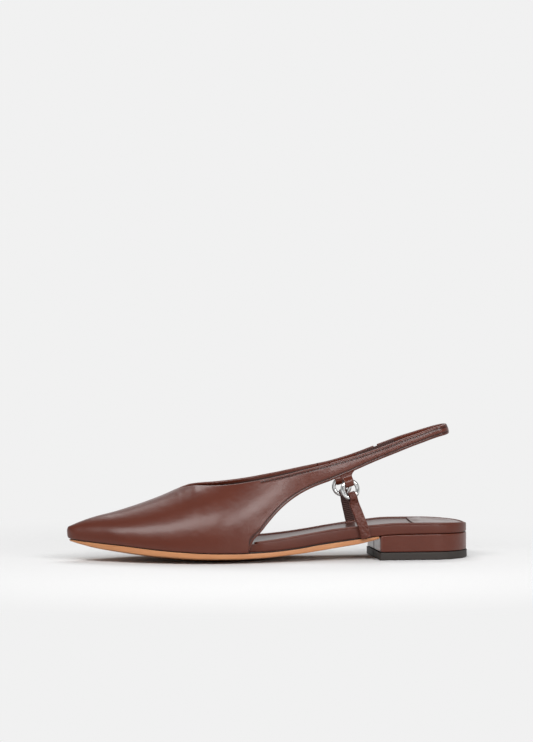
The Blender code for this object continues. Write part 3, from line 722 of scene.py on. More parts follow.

# %% [markdown]
# The two sides share the ridge of the vamp and part at the throat. There the round top edge begins,
# so the V closes on a small fold. The stitch grooves run along the rear edges and the strap, and along
# the topline they begin a little in front of the narrow part, as on the real shoe. The quarter and the
# strap puff up slightly between their folded edges. The same bell curve is kept on the mesh as an
# attribute, which the leather reads to paint the groove's shade as a dark line along the seam.

# %% Upper piece
TOP_STITCH_FROM = -113.0
GROOVE_DEEP = 0.24
GROOVE_WIDE = 0.42
# Strength and softness of the painted shade along the stitch grooves.
SEAM_SHADE, SEAM_SHADE_SOFT = 0.95, 0.4
FOLD_WIDE = 2.0
PUFF = 0.5
PUFF_FROM, PUFF_FULL = -100.0, -60.0


def bell(distance, middle, width):
    """A bell curve, exp(-((distance - middle) / width)^2)."""
    return np.exp(-(((distance - middle) / width) ** 2))


def rounding(distance, radius):
    """Depth of a round edge: radius minus the height of a circle whose middle is radius away."""
    inside = 1 - np.clip(distance / radius, 0, 1)
    return radius * (1 - np.sqrt(1 - inside**2))


def upper_layers(sign):
    """Outer face and lining of one side, and which faces of the lining are folded leather."""
    found = surfaces[sign]
    points, normals, low, high = found["points"], found["normals"], found["low"], found["high"]
    x, row = points[:, :1, 0], np.arange(len(points))[:, None]
    open_top = row >= throat_row
    rim = rounding(low, WALL / 2) + rounding(high, WALL / 2) * open_top
    stitched_low = (x > WING_X) | (row >= shell_rows)
    stitched_top = (x > TOP_STITCH_FROM) | (row >= shell_rows)
    groove = bell(low, STITCH_IN, GROOVE_WIDE) * stitched_low
    groove = groove + bell(high, STITCH_IN, GROOVE_WIDE) * stitched_top
    # Painted shade: the groove's bell curve, kept as "seam", darkens the leather along each stitch line.
    found["seam"] = SEAM_SHADE * np.clip(groove, 0, 1) ** SEAM_SHADE_SOFT
    share = low / (low + high)
    puff = PUFF * 4 * share * (1 - share) * ease(x, PUFF_FROM, PUFF_FULL)
    outer = points - (rim + GROOVE_DEEP * groove - puff)[..., None] * normals
    lining = points - (WALL - rim)[..., None] * normals
    folded = ((low < FOLD_WIDE) | ((high < FOLD_WIDE) & open_top))[1:, 1:]
    return outer, lining, np.where(folded, 0, 1).reshape(-1)


grids, seam_shades = [], []
for sign in (-1, 1):
    outer_face, lining_face, lining_slots = upper_layers(sign)
    surfaces[sign]["face"] = outer_face
    grids += [(outer_face, sign > 0, 0), (lining_face, sign < 0, lining_slots)]
    seam_shades += [surfaces[sign]["seam"], 0 * surfaces[sign]["seam"]]
dressed(build("upper_leather", grids, [CALF, LINING], marks=seam_shades, label="seam"), "leather", "upper")

# %% [markdown]
# ## Stitches
#
# A seam is a row of small threads, each arched over the leather with its ends sunk in the needle
# holes. One stitch is a slim capsule of a few dozen faces. It is repeated along a line of the surface
# by arrays: every stitch takes its place, its direction and its upright from the surface there. An
# Array modifier along a curve would space them too, but wouldn't tip each one with the leather.

# %% Stitches
STITCH_PITCH = 2.2
STITCH_LONG = 1.6
STITCH_RADIUS = 0.24
STITCH_LOOK = 0.4


def stitch_shape():
    """A capsule along X, arched by a parabola: five rings of six points and a point at each end.

    The radius is that of a circle at the ring's place, raised to the power 0.6, which makes it fuller.
    """
    along_x = np.cos(np.linspace(math.pi, 0, 7))[1:-1]
    turn = np.linspace(0, 2 * math.pi, 7)[:-1]
    radius = STITCH_RADIUS * np.sqrt(1 - along_x**2) ** 0.6
    ring = np.stack([np.cos(turn), np.sin(turn)], 1)
    rings = np.concatenate(
        [np.broadcast_to(along_x[:, None, None], (5, 6, 1)), radius[:, None, None] * ring[None]], 2
    ).reshape(-1, 3)
    points = np.concatenate([[[-1, 0, 0]], rings, [[1, 0, 0]]])
    points[:, 2] += 0.05 - 0.16 * points[:, 0] ** 2
    points[:, 0] *= STITCH_LONG / 2
    around = np.arange(6)
    following = (around + 1) % 6
    quads = [
        np.stack([1 + 6 * k + around, 1 + 6 * k + following, 7 + 6 * k + following, 7 + 6 * k + around], 1)
        for k in range(4)
    ]
    first = np.stack([0 * around, 1 + following, 1 + around], 1)
    last = np.stack([0 * around + 31, 25 + around, 25 + following], 1)
    return points, np.concatenate(quads), np.concatenate([first, last])


def stitch_line(line, uprights):
    """Places, directions and uprights of stitches spaced evenly along a line of points."""
    travel = travelled(line)
    count = max(1, int(travel[-1] / STITCH_PITCH))
    at = (np.arange(count) + 0.5) * travel[-1] / count

    def read_at(distances, values):
        """Values of the line at distances along it."""
        return np.stack([np.interp(distances, travel, values[:, k]) for k in range(3)], 1)

    places, up = read_at(at, line), unit(read_at(at, uprights))
    ahead, behind = read_at(at + STITCH_LOOK, line), read_at(at - STITCH_LOOK, line)
    return places, unit(ahead - behind), up


def stitches(name, lines, material):
    """One mesh of all stitches along several lines, from one shape and three directions each."""
    shape, quads, ends = stitch_shape()
    places, ways, ups = (np.concatenate(parts) for parts in zip(*lines))
    asides = unit(np.cross(ups, ways))
    ups = np.cross(ways, asides)
    axes = np.stack([ways, asides, ups], 1)
    points = places[:, None] + np.einsum("pk,nkc->npc", shape, axes)
    start = (np.arange(len(places)) * len(shape))[:, None, None]
    faces = (quads + start).reshape(-1, 4).tolist() + (ends + start).reshape(-1, 3).tolist()
    mesh = bpy.data.meshes.new(name)
    mesh.from_pydata((points.reshape(-1, 3) * MM).tolist(), [], faces)
    mesh.shade_smooth()
    mesh.materials.append(material)
    piece = bpy.data.objects.new(name, mesh)
    bpy.context.collection.objects.link(piece)
    print(f"{name}: {len(places)} stitches")
    return piece


seam_lines = []
for sign in (-1, 1):
    face, normals = surfaces[sign]["face"], surfaces[sign]["normals"]
    column = len(EDGE_STEPS) + 1
    rear = slice(int(np.argmax(upper_rows(sign)[0] > WING_X + 1.0)), None)
    top = slice(int(np.argmax(upper_rows(sign)[0] > TOP_STITCH_FROM)), None)
    seam_lines.append(stitch_line(face[rear, column], normals[rear, column]))
    seam_lines.append(stitch_line(face[top, -1 - column], normals[top, -1 - column]))
dressed(stitches("edge_stitches", seam_lines, THREAD), "leather")

# %% [markdown]
# ## Sole, insole and heel
#
# All of these are plates cut to the same outline: a lower face, an upper face and a side between them.
# The outline is moved inwards along its own normal, so a round edge is a few outlines, each a little
# further in and a little higher or lower along a quarter circle. Each face is ruled across the shoe
# between the two edges, which keeps dish and arch smooth. Extruding a flat outline would be simpler,
# but it could follow neither.

# %% Plates over the outline
def outline(stations, inset):
    """Both edges of the outline at the stations, moved inwards by inset along the edge's normal."""
    centre, half = read(SOLE, "centre", stations), half_width(stations)
    edges = []
    for sign in (-1, 1):
        points = np.stack([stations, centre + sign * half], 1)
        way = np.gradient(points, axis=0)
        way[0] = (0, sign) if half[0] < 1e-6 else (1, 0)
        way[-1] = (0, -sign) if half[-1] < 1e-6 else (1, 0)
        way = unit(way)
        inwards = np.stack([sign * way[:, 1], -sign * way[:, 0]], 1)
        edges.append(points + inwards * np.broadcast_to(inset, stations.shape)[:, None])
    return edges


def across(x, y):
    """Share of the way from the middle of the sole to its edge."""
    return np.clip(np.abs(y - read(SOLE, "centre", x)) / np.maximum(half_width(x), 1), 0, 1)


def crown(x, y):
    """The sole's underside: level in the middle fifth, then up to the edge by a power of 1.3."""
    rise = np.clip((across(x, y) - 0.2) / 0.8, 0, 1) ** 1.3
    tread = read(SOLE, "tread", x)
    return tread + (read(SOLE, "edge", x) - tread) * rise


def sole_top(x, y):
    """The sole's upper face: its underside, raised by what the seat has over the edge, less a gap."""
    return crown(x, y) + read(SOLE, "seat", x) - GAP - read(SOLE, "edge", x)


def footbed_top(x, y):
    """The insole's upper face: its rim, less a dish of 1 - across^2."""
    inner_share = 0.5 + 0.5 * np.sign(y - read(SOLE, "centre", x)) * across(x, y)
    rim = read(FOOTBED, "rim", x) - read(FOOTBED, "drop", x) * inner_share
    return rim - read(FOOTBED, "dish", x) * (1 - across(x, y) ** 2)


def raised(surface, height):
    """The same face, moved up by height."""
    return lambda x, y: surface(x, y) + height


def level(height):
    """A flat face at a height."""
    return lambda x, y: np.full(np.shape(x), float(height))


def round_rim(radius, steps=5):
    """(inwards, down) pairs of a quarter circle from the face to the side."""
    angle = np.linspace(0, math.pi / 2, steps)
    return np.stack([radius * (1 - np.sin(angle)), radius * (1 - np.cos(angle))], 1)


def plate(name, stations, inset, top, bottom, rim_top, rim_bottom, materials, columns):
    """A closed plate between two faces over the outline, with round edges."""
    rings = []
    for rim, height, sign in ((rim_bottom, bottom, 1), (rim_top[::-1], top, -1)):
        for inwards, away in rim:
            sides = outline(stations, np.asarray(inset) + inwards)
            rings.append([np.column_stack([p, height(p[:, 0], p[:, 1]) + sign * away]) for p in sides])
    grids = [(np.stack([ring[side] for ring in rings], 1), side == 1, 0) for side in (0, 1)]
    share = np.linspace(0, 1, columns + 1)[None, :, None]
    for ring, height, flip in ((rings[0], bottom, True), (rings[-1], top, False)):
        flat = ring[0][:, None, :2] * (1 - share) + ring[1][:, None, :2] * share
        grids.append((np.concatenate([flat, height(flat[..., 0], flat[..., 1])[..., None]], -1), flip, 0))
    return build(name, grids, materials)


toe_steps = np.linspace(0, 1, 110) ** 2
heel_turn = np.sin(np.linspace(0, math.pi / 2, 40))
whole_sole = np.concatenate(
    [TOE_X + (HEEL_ROUND_X - TOE_X) * toe_steps[:-1], HEEL_ROUND_X + (BACK_X - HEEL_ROUND_X) * heel_turn]
)
front_sole = TOE_X + (BREAST_X - 0.6 - TOE_X) * toe_steps
print("stations along the sole:", len(whole_sole), "and along the leather sole:", len(front_sole))

# %% [markdown]
# The sole is one thin piece of leather with sanded edges, cut a little smaller than the upper. A dark
# shadow line runs along the feather, where upper, insole and sole meet. It could come from a groove cut
# into all three. Here that shadow is painted: a thin near-black plate set back between them, which
# needs only a few faces.

# %% Leather sole and the painted shadow of the feather above it
def toe_inset(stations, side, more):
    """Inset of a plate: side all along, and more at the toe, falling off as exp(-distance / reach)."""
    return side + more * np.exp((TOE_X - stations) / NOSE_REACH)


sole_inset = toe_inset(front_sole, 0.8, 1.0)
dressed(
    plate(
        "sole_leather", front_sole, sole_inset, sole_top, crown,
        round_rim(0.3, 4), round_rim(0.7), [TAN], 20,
    ),
    "sole_leather", "outsole",
)
feather = np.concatenate([front_sole[:-1], [BREAST_X - 0.8]])
# The plate's near-black colour paints the shadow of the gap between upper, insole and sole.
dressed(
    plate(
        "feather_shadow_plate", feather, toe_inset(feather, 1.5, 0.9), raised(sole_top, 1.1),
        raised(sole_top, -0.35), round_rim(0.2, 3), round_rim(0.2, 3), [FEATHER_SHADOW], 4,
    ),
    "leather",
)

# %% [markdown]
# The insole is a board wrapped in the upper's leather. Behind the quarters its wrapped side shows, and
# its upper edge is a soft round rim, here a bead carried along the outline. A thin glazed sock covers
# the top and stops just inside that rim, so a fine line runs between them. Under the heel lies a padded
# cushion, a little puffed between its sewn edges. A cloth simulation could puff it, but a crown and a
# few soft waves written as a formula stay the same each time.

# %% Insole, sock and heel cushion
INSET_IN_UPPER = 2.8
INSET_BEHIND = 0.5
WRAP_CLEAR = 0.6
SOCK_IN = 2.3
BEAD_FROM_X = -121.0
BEAD_RADIUS = 0.95
BEAD_SUNK = 0.4


def footbed_inset(stations):
    """Inside the upper's wall in front, and at the outline behind the quarters."""
    return INSET_IN_UPPER - (INSET_IN_UPPER - INSET_BEHIND) * ease(stations, -119, -113)


def wrap_bottom(x, y):
    """The wrap's underside: on the heel block, and in front of it a little clear of the sole."""
    return sole_top(x, y) + GAP + WRAP_CLEAR * (1 - ease(x, -42, -33))


bed_inset = footbed_inset(whole_sole)
dressed(
    plate(
        "insole_wrap", whole_sole, bed_inset, raised(footbed_top, -0.7), wrap_bottom,
        round_rim(0.8), round_rim(1.0), [WRAP], 20,
    ),
    "leather", "footbed",
)
dressed(
    plate(
        "insole_sock", whole_sole, bed_inset + SOCK_IN, raised(footbed_top, -0.25), raised(footbed_top, -0.9),
        round_rim(0.3, 4), round_rim(0.2, 3), [SOCK], 24,
    ),
    "leather",
)


def bead(name, path, radius, material):
    """A round cord along a path: circles in the plane of the upright and the way across."""
    tangent = unit(np.gradient(path, axis=0))
    aside = unit(np.cross(tangent, [0, 0, 1.0]))
    upright = np.cross(aside, tangent)
    turn = np.linspace(0, 2 * math.pi, 13)[None, :, None]
    grid = path[:, None] + radius * (np.cos(turn) * aside[:, None] + np.sin(turn) * upright[:, None])
    return build(name, [(grid, True, 0)], [material])


bead_steps = whole_sole[whole_sole > BEAD_FROM_X]
bead_edges = outline(bead_steps, footbed_inset(bead_steps) + BEAD_RADIUS)
bead_plan = np.concatenate([bead_edges[0], bead_edges[1][::-1][1:]])
bead_path = np.column_stack([bead_plan, footbed_top(bead_plan[:, 0], bead_plan[:, 1]) - BEAD_SUNK])
dressed(bead("insole_rim", bead_path, BEAD_RADIUS, WRAP), "leather")

PAD_FRONT_X = -5.0
PAD_HALF = 23.7
PAD_BACK = 25.0
PAD_CROWN = 0.85
PAD_WAVES = 0.22


def cushion_top(x, y):
    """The heel cushion: a crown that falls to its edges, and soft waves where the leather is loose."""
    share = np.clip(np.abs(y) / 23.0, 0, 1)
    front = ease(x, PAD_FRONT_X, PAD_FRONT_X + 5)
    reach = np.hypot((x - HEEL_ROUND_X) * PAD_HALF / PAD_BACK, y) * (x > HEEL_ROUND_X)
    back = 1 - ease(reach, 17, PAD_BACK)
    waves = PAD_WAVES * np.sin(x / 3.7 + y / 8.0) * np.cos(y / 6.3 - 0.6)
    return footbed_top(x, y) + 0.5 + (PAD_CROWN * (1 - share**4) + waves) * front * back


pad_front = np.linspace(PAD_FRONT_X, HEEL_ROUND_X, 16)[:-1]
cushion_steps = np.concatenate([pad_front, HEEL_ROUND_X + (BACK_X - HEEL_ROUND_X) * heel_turn])
cushion = plate(
    "heel_cushion", cushion_steps, 3.0, cushion_top, raised(footbed_top, 0.05),
    round_rim(0.35, 5), round_rim(0.1, 3), [PADDED], 30,
)
dressed(cushion, "leather", "heel_pad")

# %% [markdown]
# The heel is a block wrapped in leather, with a straight front, called the breast, and a round back.
# Its plan is one closed line: straight front, small round corners, straight sides and half an ellipse.
# The breast is glazed like the sock, and its wrap meets in a fine seam down the middle. The lift below
# is a plate of hard rubber. A cylinder cut by a box has these faces too, but rings of the plan, stacked
# with a few insets, give the round edges and the seam in one go.

# %% Heel block and lift
BLOCK_IN = 0.4
SEAM_DEEP = 0.7
SEAM_WIDE = 0.5
LIFT_HEIGHT = 5.2


def heel_plan(inset, corner):
    """The heel's closed plan, moved inwards by inset: sides, ellipse back and round front corners."""
    front = BREAST_X + inset
    side_x = np.linspace(front + corner, HEEL_ROUND_X, 26)
    half = read(SOLE, "half", side_x) - inset
    turn = np.linspace(0, math.pi / 2, 28)[1:]
    back_x = HEEL_ROUND_X + (BACK_X - HEEL_ROUND_X - inset) * np.sin(turn)
    back_y = (SOLE["half"][-1] - inset) * np.cos(turn)
    bend = np.linspace(0, math.pi / 2, 8)[:-1]
    corner_x = front + corner * (1 - np.sin(bend))
    corner_y = half[0] - corner * (1 - np.cos(bend))
    flat_y = np.concatenate([[0, 0.3, 0.6, 1.0], np.linspace(2, half[0] - corner, 12)[:-1]])
    seam = SEAM_DEEP * bell(flat_y, 0, SEAM_WIDE)
    x = np.concatenate([front + seam, corner_x[::-1], side_x, back_x])
    y = np.concatenate([flat_y, corner_y[::-1], half, back_y])
    outer = np.stack([x[::-1], -y[::-1]], 1)
    return np.concatenate([outer[:-1], np.stack([x, y], 1)])


def heel_rings(profile, corner, top):
    """Rings of the heel for rows of inset, base height, share of the way to the top face, and offset."""
    rings = []
    for inset, base, share, away in profile:
        plan = heel_plan(inset, corner)
        height = base + (top(plan[:, 0], plan[:, 1]) - base) * share + away
        rings.append(np.column_stack([plan, height]))
    return np.stack(rings)


def closed_stack(name, rings, materials):
    """A closed solid from stacked rings: the side, and each end drawn in to its middle line.

    The faces of the breast take the last of the materials.
    """
    shrink = np.array([1.0, 0.98, 0.9, 0.7, 0.4, 0.0])[:, None, None]
    ends = []
    for ring in (rings[0], rings[-1]):
        middle = ring * np.array([1, 0, 1])
        ends.append(ring[None] * shrink + middle[None] * (1 - shrink))
    breast = (rings[1:, 1:, 0] < BREAST_X + 1.2).reshape(-1).astype(int) * (len(materials) - 1)
    grids = [(rings, False, breast), (ends[0], True, 0), (ends[1], False, 0)]
    return build(name, grids, materials)


def stack_profile(inset, base, low_rim, high_rim, shares):
    """Rows for heel_rings: a round lower edge, the side at the shares, and a round upper edge."""
    rows = [(inset + inwards, base, 0.0, away) for inwards, away in low_rim]
    rows += [(inset, base, share, 0.0) for share in shares]
    return rows + [(inset + inwards, base, 1.0, -away) for inwards, away in high_rim[::-1]]


block_rim = round_rim(0.6)
block_profile = stack_profile(BLOCK_IN, LIFT_HEIGHT + GAP, block_rim, block_rim, np.linspace(0.1, 0.9, 9))
block_rings = heel_rings(block_profile, 1.4, sole_top)
dressed(closed_stack("heel_cover", block_rings, [CALF, GLAZED]), "leather", "heel_block")
lift_profile = stack_profile(0.0, 0.0, round_rim(0.5, 4), round_rim(0.35, 4), (0.25, 0.5, 0.75))
lift_rings = heel_rings(lift_profile, 1.0, level(LIFT_HEIGHT))
dressed(closed_stack("heel_lift", lift_rings, [RUBBER]), "top_lift", "top_lift")

# %% [markdown]
# ## Rings and small straps
#
# A ring is a torus: a circle of wire carried round a larger circle. Blender has a torus to add, which
# would have to be turned into place. Here the formula is written in the ring's own three directions,
# the same ones that the straps through it use.

# %% Rings
RING_RADIUS = 5.4
RING_WIRE = 1.5
LEAN = math.radians(16)
LEATHER_THICK = 1.1
PLY = (LEATHER_THICK + GAP) / 2
EYE_DEEP = 2.5
EYE_HIGH = 3.2
EYE_NECK = 4.2
STRAP_WIDE = 6.5
STRAP_AT_EYE = 5.0
TAB_WIDE = 6.0
TAB_NECK = 3.7
TAB_LAP = 5.5
TAB_EASE = 0.15
TAB_IN_WALL = 2.2
FLARE = 7.0
FLARE_FALL = 1.7


def strap_frame(side):
    """The sign, the ring's middle, the way up the small straps, the way across and the way outwards."""
    sign = int(side["sign"])
    ring = np.array([side["ring_x"], sign * side["ring_y"], side["ring_z"]])
    up = np.array([-math.sin(LEAN), 0, math.cos(LEAN)])
    ahead, behind = (smooth(side["ring_x"] + step, STRAP["x"], STRAP["half"]) for step in (-3, 3))
    across_way = np.array([1, -sign * float(ahead - behind) / 6, math.tan(LEAN)])
    across_way = unit(across_way - across_way.dot(up) * up)
    return sign, ring, up, across_way, -sign * np.cross(across_way, up)


def ring_piece(side):
    """The torus: middle + (R + r cos b) * (cos a, sin a) in the ring's plane + r sin b along its axis."""
    sign, middle, up, across_way, facing = strap_frame(side)
    a = np.linspace(0, 2 * math.pi, 97)[:, None, None]
    b = np.linspace(0, 2 * math.pi, 33)[None, :, None]
    reach = RING_RADIUS + RING_WIRE * np.cos(b)
    points = middle + reach * (np.cos(a) * across_way + np.sin(a) * up) + RING_WIRE * np.sin(b) * facing
    name = side_name(sign)
    piece = build("polished_ring_" + name, [(points, False, 0)], [STEEL])
    dressed(piece, "steel", "ring_" + name, body="ring_" + name)


both_sides = [{column: values[row] for column, values in SIDES.items()} for row in range(2)]
for side in both_sides:
    ring_piece(side)

# %% [markdown]
# The straps and tabs are strips of leather carried along a path that turns round the wire and comes
# back on itself. The path is a smooth curve through a few points: a cubic Hermite with slopes from its
# neighbours. The strip's section is a flat bar with half-round edges. A curve object with a bevel makes
# such strips too, but it twists in a tight turn. Here each point of the path says what way is across.

# %% Strips of leather
def through(points, count):
    """A smooth curve through points, by distance: cubic Hermite, slopes from the neighbours."""
    points = np.asarray(points, float)
    travel = travelled(points)
    slopes = np.gradient(points, travel, axis=0)
    at = np.linspace(0, travel[-1], count)
    k = np.clip(np.searchsorted(travel, at, side="right") - 1, 0, len(points) - 2)
    step = (travel[k + 1] - travel[k])[:, None]
    t = (at - travel[k])[:, None] / step
    return hermite(t, step, (points[k], points[k + 1]), (slopes[k], slopes[k + 1]))


def strip(name, path, ways, widths, thickness, material):
    """A bar with half-round edges along the path; ways points across it, widths is its full width."""
    tangent = np.gradient(path, axis=0)
    ways = unit(ways - (ways * unit(tangent)).sum(1)[:, None] * unit(tangent))
    facing = unit(np.cross(tangent, ways))
    turn = np.linspace(-math.pi / 2, math.pi / 2, 9)
    flat = np.linspace(0, 1, 6)[1:-1]
    half = np.asarray(widths)[:, None] / 2
    radius = thickness / 2
    right = half - radius + radius * np.cos(turn)
    face = (half - radius) * (1 - 2 * flat)
    aside = np.concatenate([right, face, -right, -face], 1)
    rise = radius * np.sin(turn)
    deep = np.concatenate([rise, 0 * flat + radius, -rise, 0 * flat - radius])
    aside = np.concatenate([aside, aside[:, :1]], 1)
    deep = np.concatenate([deep, deep[:1]])
    grid = path[:, None] + aside[..., None] * ways[:, None] + deep[None, :, None] * facing[:, None]
    marks = np.broadcast_to(travelled(path)[:, None], grid.shape[:2])
    return build(name, [(grid, False, 0)], [material], marks=[marks])


def eye_turn(eye, up, facing):
    """Half an ellipse over the wire, from the outer face to the inner one."""
    angles = np.linspace(0, math.pi, 9)[:, None]
    return eye + EYE_DEEP * np.cos(angles) * facing + EYE_HIGH * np.sin(angles) * up


def blend_ways(path, low_way, high_way, low_z, high_z):
    """Directions across a strap that turn from low_way to high_way with the height."""
    share = np.clip((path[:, 2:] - low_z) / (high_z - low_z), 0, 1)
    return unit(low_way * (1 - share) + high_way * share)


def side_strap(side):
    """The doubled strap from the sole's edge round the ring's lower wire and back.

    The outer strap shows its creased leather. Of the inner one only the lining shows, finely ribbed.
    """
    sign, ring, up, across_way, facing = strap_frame(side)
    eye = ring - RING_RADIUS * up
    foot_x = float(side["foot_x"])
    foot_z = float(read(SOLE, "seat", foot_x)) + GAP
    rim_z = float(read(FOOTBED, "rim", foot_x)) + 1
    reach = half_width(foot_x) - 0.5 + GAP + PLY + LEATHER_THICK / 2
    foot = np.array([foot_x, float(read(SOLE, "centre", foot_x) + sign * reach), foot_z])
    rim_point = foot + (rim_z - foot_z) * np.array([-math.tan(LEAN), 0, 1])
    neck = eye - EYE_NECK * up
    shares = np.array([0, 0.3, 0.65, 1])[:, None]
    free = rim_point * (1 - shares) + neck * shares
    spine = np.concatenate([[foot, (foot + rim_point) / 2], free])
    turned = eye_turn(eye, up, facing)
    path = through(np.concatenate([spine + PLY * facing, turned, spine[::-1] - PLY * facing]), 150)
    ways = blend_ways(path, np.array([math.cos(LEAN), 0, math.sin(LEAN)]), across_way, foot_z, neck[2])
    widths = np.interp(path[:, 2], [neck[2], eye[2]], [STRAP_WIDE, STRAP_AT_EYE])
    name = side_name(sign)
    finish = CREASED if sign < 0 else WEBBING
    piece = strip("side_strap_leather_" + name, path, ways, widths, LEATHER_THICK, finish)
    dressed(piece, "leather", "side_strap_" + name)


def sling_edge(x, sign):
    """The point of the sling strap's lower edge at x."""
    half = float(smooth(x, STRAP["x"], STRAP["half"]))
    return strap_edges(np.array([float(x)]), np.array([sign * half]))[0][0]


def ring_tab(side):
    """The tab: flush with the strap outside, round the ring's upper wire, and up the strap's inside.

    Its reach to the strap's edge is found by a few steps, since the edge's height depends on the reach.
    Just below the edge it flares by an exponential, so that it seems to grow out of the strap.
    """
    sign, ring, up, across_way, facing = strap_frame(side)
    eye = ring + RING_RADIUS * up
    reach = 5.0
    for _ in range(8):
        lower = sling_edge(eye[0] + reach * up[0], sign)
        reach = (lower[2] - eye[2]) / up[2]
    front = sign * (abs(lower[1]) - WALL / 2) - eye[1]
    back = sign * (abs(lower[1]) - WALL - GAP - LEATHER_THICK / 2 - TAB_EASE) - eye[1]
    sideways = np.array([0, 1, 0])
    front_heights = (reach + TAB_IN_WALL, (reach + TAB_NECK) / 2, TAB_NECK)
    front_run = [eye + h * up + front * sideways for h in front_heights]
    back_run = [eye + h * up + back * sideways for h in (TAB_NECK, reach, reach + TAB_LAP)]
    turned = eye_turn(eye, -up, facing)
    path = through(np.concatenate([front_run, turned, back_run]), 110)
    ahead, behind = (sling_edge(lower[0] + step, sign) for step in (-3, 3))
    ways = blend_ways(path, across_way, unit(behind - ahead), eye[2], lower[2])
    below = (reach + 0.5 - (path - eye) @ up).clip(0)
    flare = FLARE * np.exp(-below / FLARE_FALL) * (np.arange(len(path)) < len(path) / 2)
    name = side_name(sign)
    piece = strip("ring_tab_leather_" + name, path, ways, TAB_WIDE + flare, LEATHER_THICK, CALF)
    dressed(piece, "leather", "ring_tab_" + name)


for side in both_sides:
    side_strap(side)
    ring_tab(side)

# %% [markdown]
# The inner run of the strap is cut and joined by a short elastic on its inside, which lets the shoe
# slip over the heel. It is a flat strip that follows the strap's own plan, one wall further in.

# %% Elastic
ELASTIC_LAP = 11.0
ELASTIC_WIDE = 5.4
ELASTIC_THICK = 0.9


def elastic():
    """The strip: the middle of the strap, moved inwards by wall and gap along the plan's normal."""
    xs = np.linspace(GORE_FRONT_X - ELASTIC_LAP, GORE_BACK_X + ELASTIC_LAP, 60)
    half = smooth(xs, STRAP["x"], STRAP["half"])
    slope = np.gradient(half, xs)
    deep = (WALL + GAP + ELASTIC_THICK / 2 + TAB_EASE) / np.sqrt(1 + slope**2)
    lower, upper = strap_edges(xs, half)
    path = (lower + upper) / 2 + np.stack([slope * deep, -deep, 0 * deep], 1)
    widths = np.full(len(xs), ELASTIC_WIDE)
    piece = strip("ribbed_elastic", path, unit(upper - lower), widths, ELASTIC_THICK, WEBBING)
    dressed(piece, "elastic", "elastic_gore")


elastic()

# %% [markdown]
# ## The studio
#
# The floor runs into a background of the same brightness. It is matt under the shoe, where it takes the
# soft shadow, and fades to its own light further off, so no horizon shows. The sky is pale at the
# horizon and dimmer above and towards the camera, which keeps the leather deep in colour. Four soft
# lamps draw its highlights: one on the toe side makes the broad band on the vamp, one behind lights the
# ridge and the far topline, one on the heel side gives the quarter its sheen, and a low one further
# round does so for the strap. A leather mirrors a lamp only where its surface faces halfway between
# lamp and camera, so each lamp's place follows from the place of its highlight. A lamp's power is its
# brightness times its area times pi, so that a larger lamp is not dimmer.

# %% Floor, background and lamps
PALE = 0.879
SKY = 0.3
FLOOR_WHITE = 0.64
MATT_TO, GLOW_FROM = 0.13, 0.36
SHOE_MIDDLE = np.array([-0.12, 0.0, 0.03])
LAMP_AWAY = 1.2


def pale(value):
    """A neutral grey as the four values of a colour."""
    return (value, value, value, 1.0)


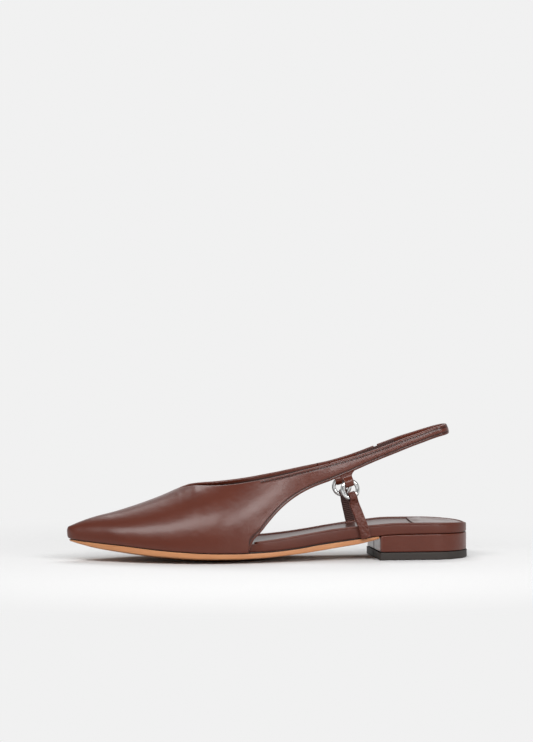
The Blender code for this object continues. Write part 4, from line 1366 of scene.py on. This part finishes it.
def stage_floor():
    """A round floor: diffuse near the shoe, emitting the background's value far from it."""
    ring = np.concatenate([[0.0], np.geomspace(0.05, 30, 24)])[:, None, None]
    turn = np.linspace(0, 2 * math.pi, 65)[None, :, None]
    points = np.concatenate([ring * np.cos(turn), ring * np.sin(turn), 0 * ring * turn], -1)
    floor = build("studio_floor", [(points / MM, False, 0)], [], fill=False)
    material = bpy.data.materials.new("pale_floor")
    material.use_nodes = True
    tree = material.node_tree
    tree.nodes.remove(tree.nodes["Principled BSDF"])
    place = node(tree, "ShaderNodeTexCoord")
    offset = node(tree, "ShaderNodeVectorMath", operation="SUBTRACT")
    offset.inputs[1].default_value = (SHOE_MIDDLE[0], 0.0, 0.0)
    distance = node(tree, "ShaderNodeVectorMath", operation="LENGTH")
    fade = node(tree, "ShaderNodeMapRange", interpolation_type="SMOOTHSTEP")
    fade.inputs["From Min"].default_value = MATT_TO
    fade.inputs["From Max"].default_value = GLOW_FROM
    matt = node(tree, "ShaderNodeBsdfDiffuse", Color=pale(FLOOR_WHITE))
    glow = node(tree, "ShaderNodeEmission", Color=pale(PALE))
    mixed = node(tree, "ShaderNodeMixShader")
    tree.links.new(place.outputs["Object"], offset.inputs[0])
    tree.links.new(offset.outputs["Vector"], distance.inputs[0])
    tree.links.new(distance.outputs["Value"], fade.inputs["Value"])
    tree.links.new(fade.outputs["Result"], mixed.inputs["Fac"])
    tree.links.new(matt.outputs[0], mixed.inputs[1])
    tree.links.new(glow.outputs[0], mixed.inputs[2])
    tree.links.new(mixed.outputs[0], tree.nodes["Material Output"].inputs["Surface"])
    floor.data.materials.append(material)


def stage_sky():
    """A world that is pale near the horizon and behind the shoe, and dims to SKY elsewhere."""
    world = bpy.data.worlds.new("studio")
    bpy.context.scene.world = world
    world.use_nodes = True
    tree = world.node_tree
    way = node(tree, "ShaderNodeTexCoord")
    parts = node(tree, "ShaderNodeSeparateXYZ")
    tree.links.new(way.outputs["Generated"], parts.inputs[0])
    shares = []
    for axis, dim, full in (("Z", 0.5, 0.16), ("Y", -0.75, -0.1)):
        share = node(tree, "ShaderNodeMapRange", interpolation_type="SMOOTHSTEP")
        share.inputs["From Min"].default_value = dim
        share.inputs["From Max"].default_value = full
        tree.links.new(parts.outputs[axis], share.inputs["Value"])
        shares.append(share.outputs["Result"])
    extra = calc(tree, "MULTIPLY", calc(tree, "MULTIPLY", shares[0], shares[1]), PALE - SKY)
    tree.links.new(calc(tree, "ADD", extra, SKY), tree.nodes["Background"].inputs["Color"])


def lamp(name, azimuth, elevation, size, brightness):
    """A soft rectangular lamp seen from the shoe at an azimuth (0 is -Y, positive to +X) and elevation."""
    data = bpy.data.lights.new(name, "AREA")
    data.shape = "RECTANGLE"
    data.size, data.size_y = size
    data.energy = brightness * size[0] * size[1] * math.pi
    made = bpy.data.objects.new(name, data)
    a, e = math.radians(azimuth), math.radians(elevation)
    way = np.array([math.sin(a) * math.cos(e), -math.cos(a) * math.cos(e), math.sin(e)])
    made.location = SHOE_MIDDLE + LAMP_AWAY * way
    made.rotation_euler = (math.pi / 2 - e, 0, a)
    bpy.context.collection.objects.link(made)


stage_floor()
stage_sky()
lamp("toe_side", -35, 41, (1.0, 0.36), 8.0)
lamp("behind", 165, 56, (1.0, 0.7), 3.8)
lamp("heel_side", 23, 33, (0.7, 0.33), 10.0)
lamp("strap_side", 34, 13, (0.5, 0.18), 10.0)
bpy.context.scene.view_settings.view_transform = "Standard"
print("lamps:", ", ".join(light.name for light in bpy.data.lights))
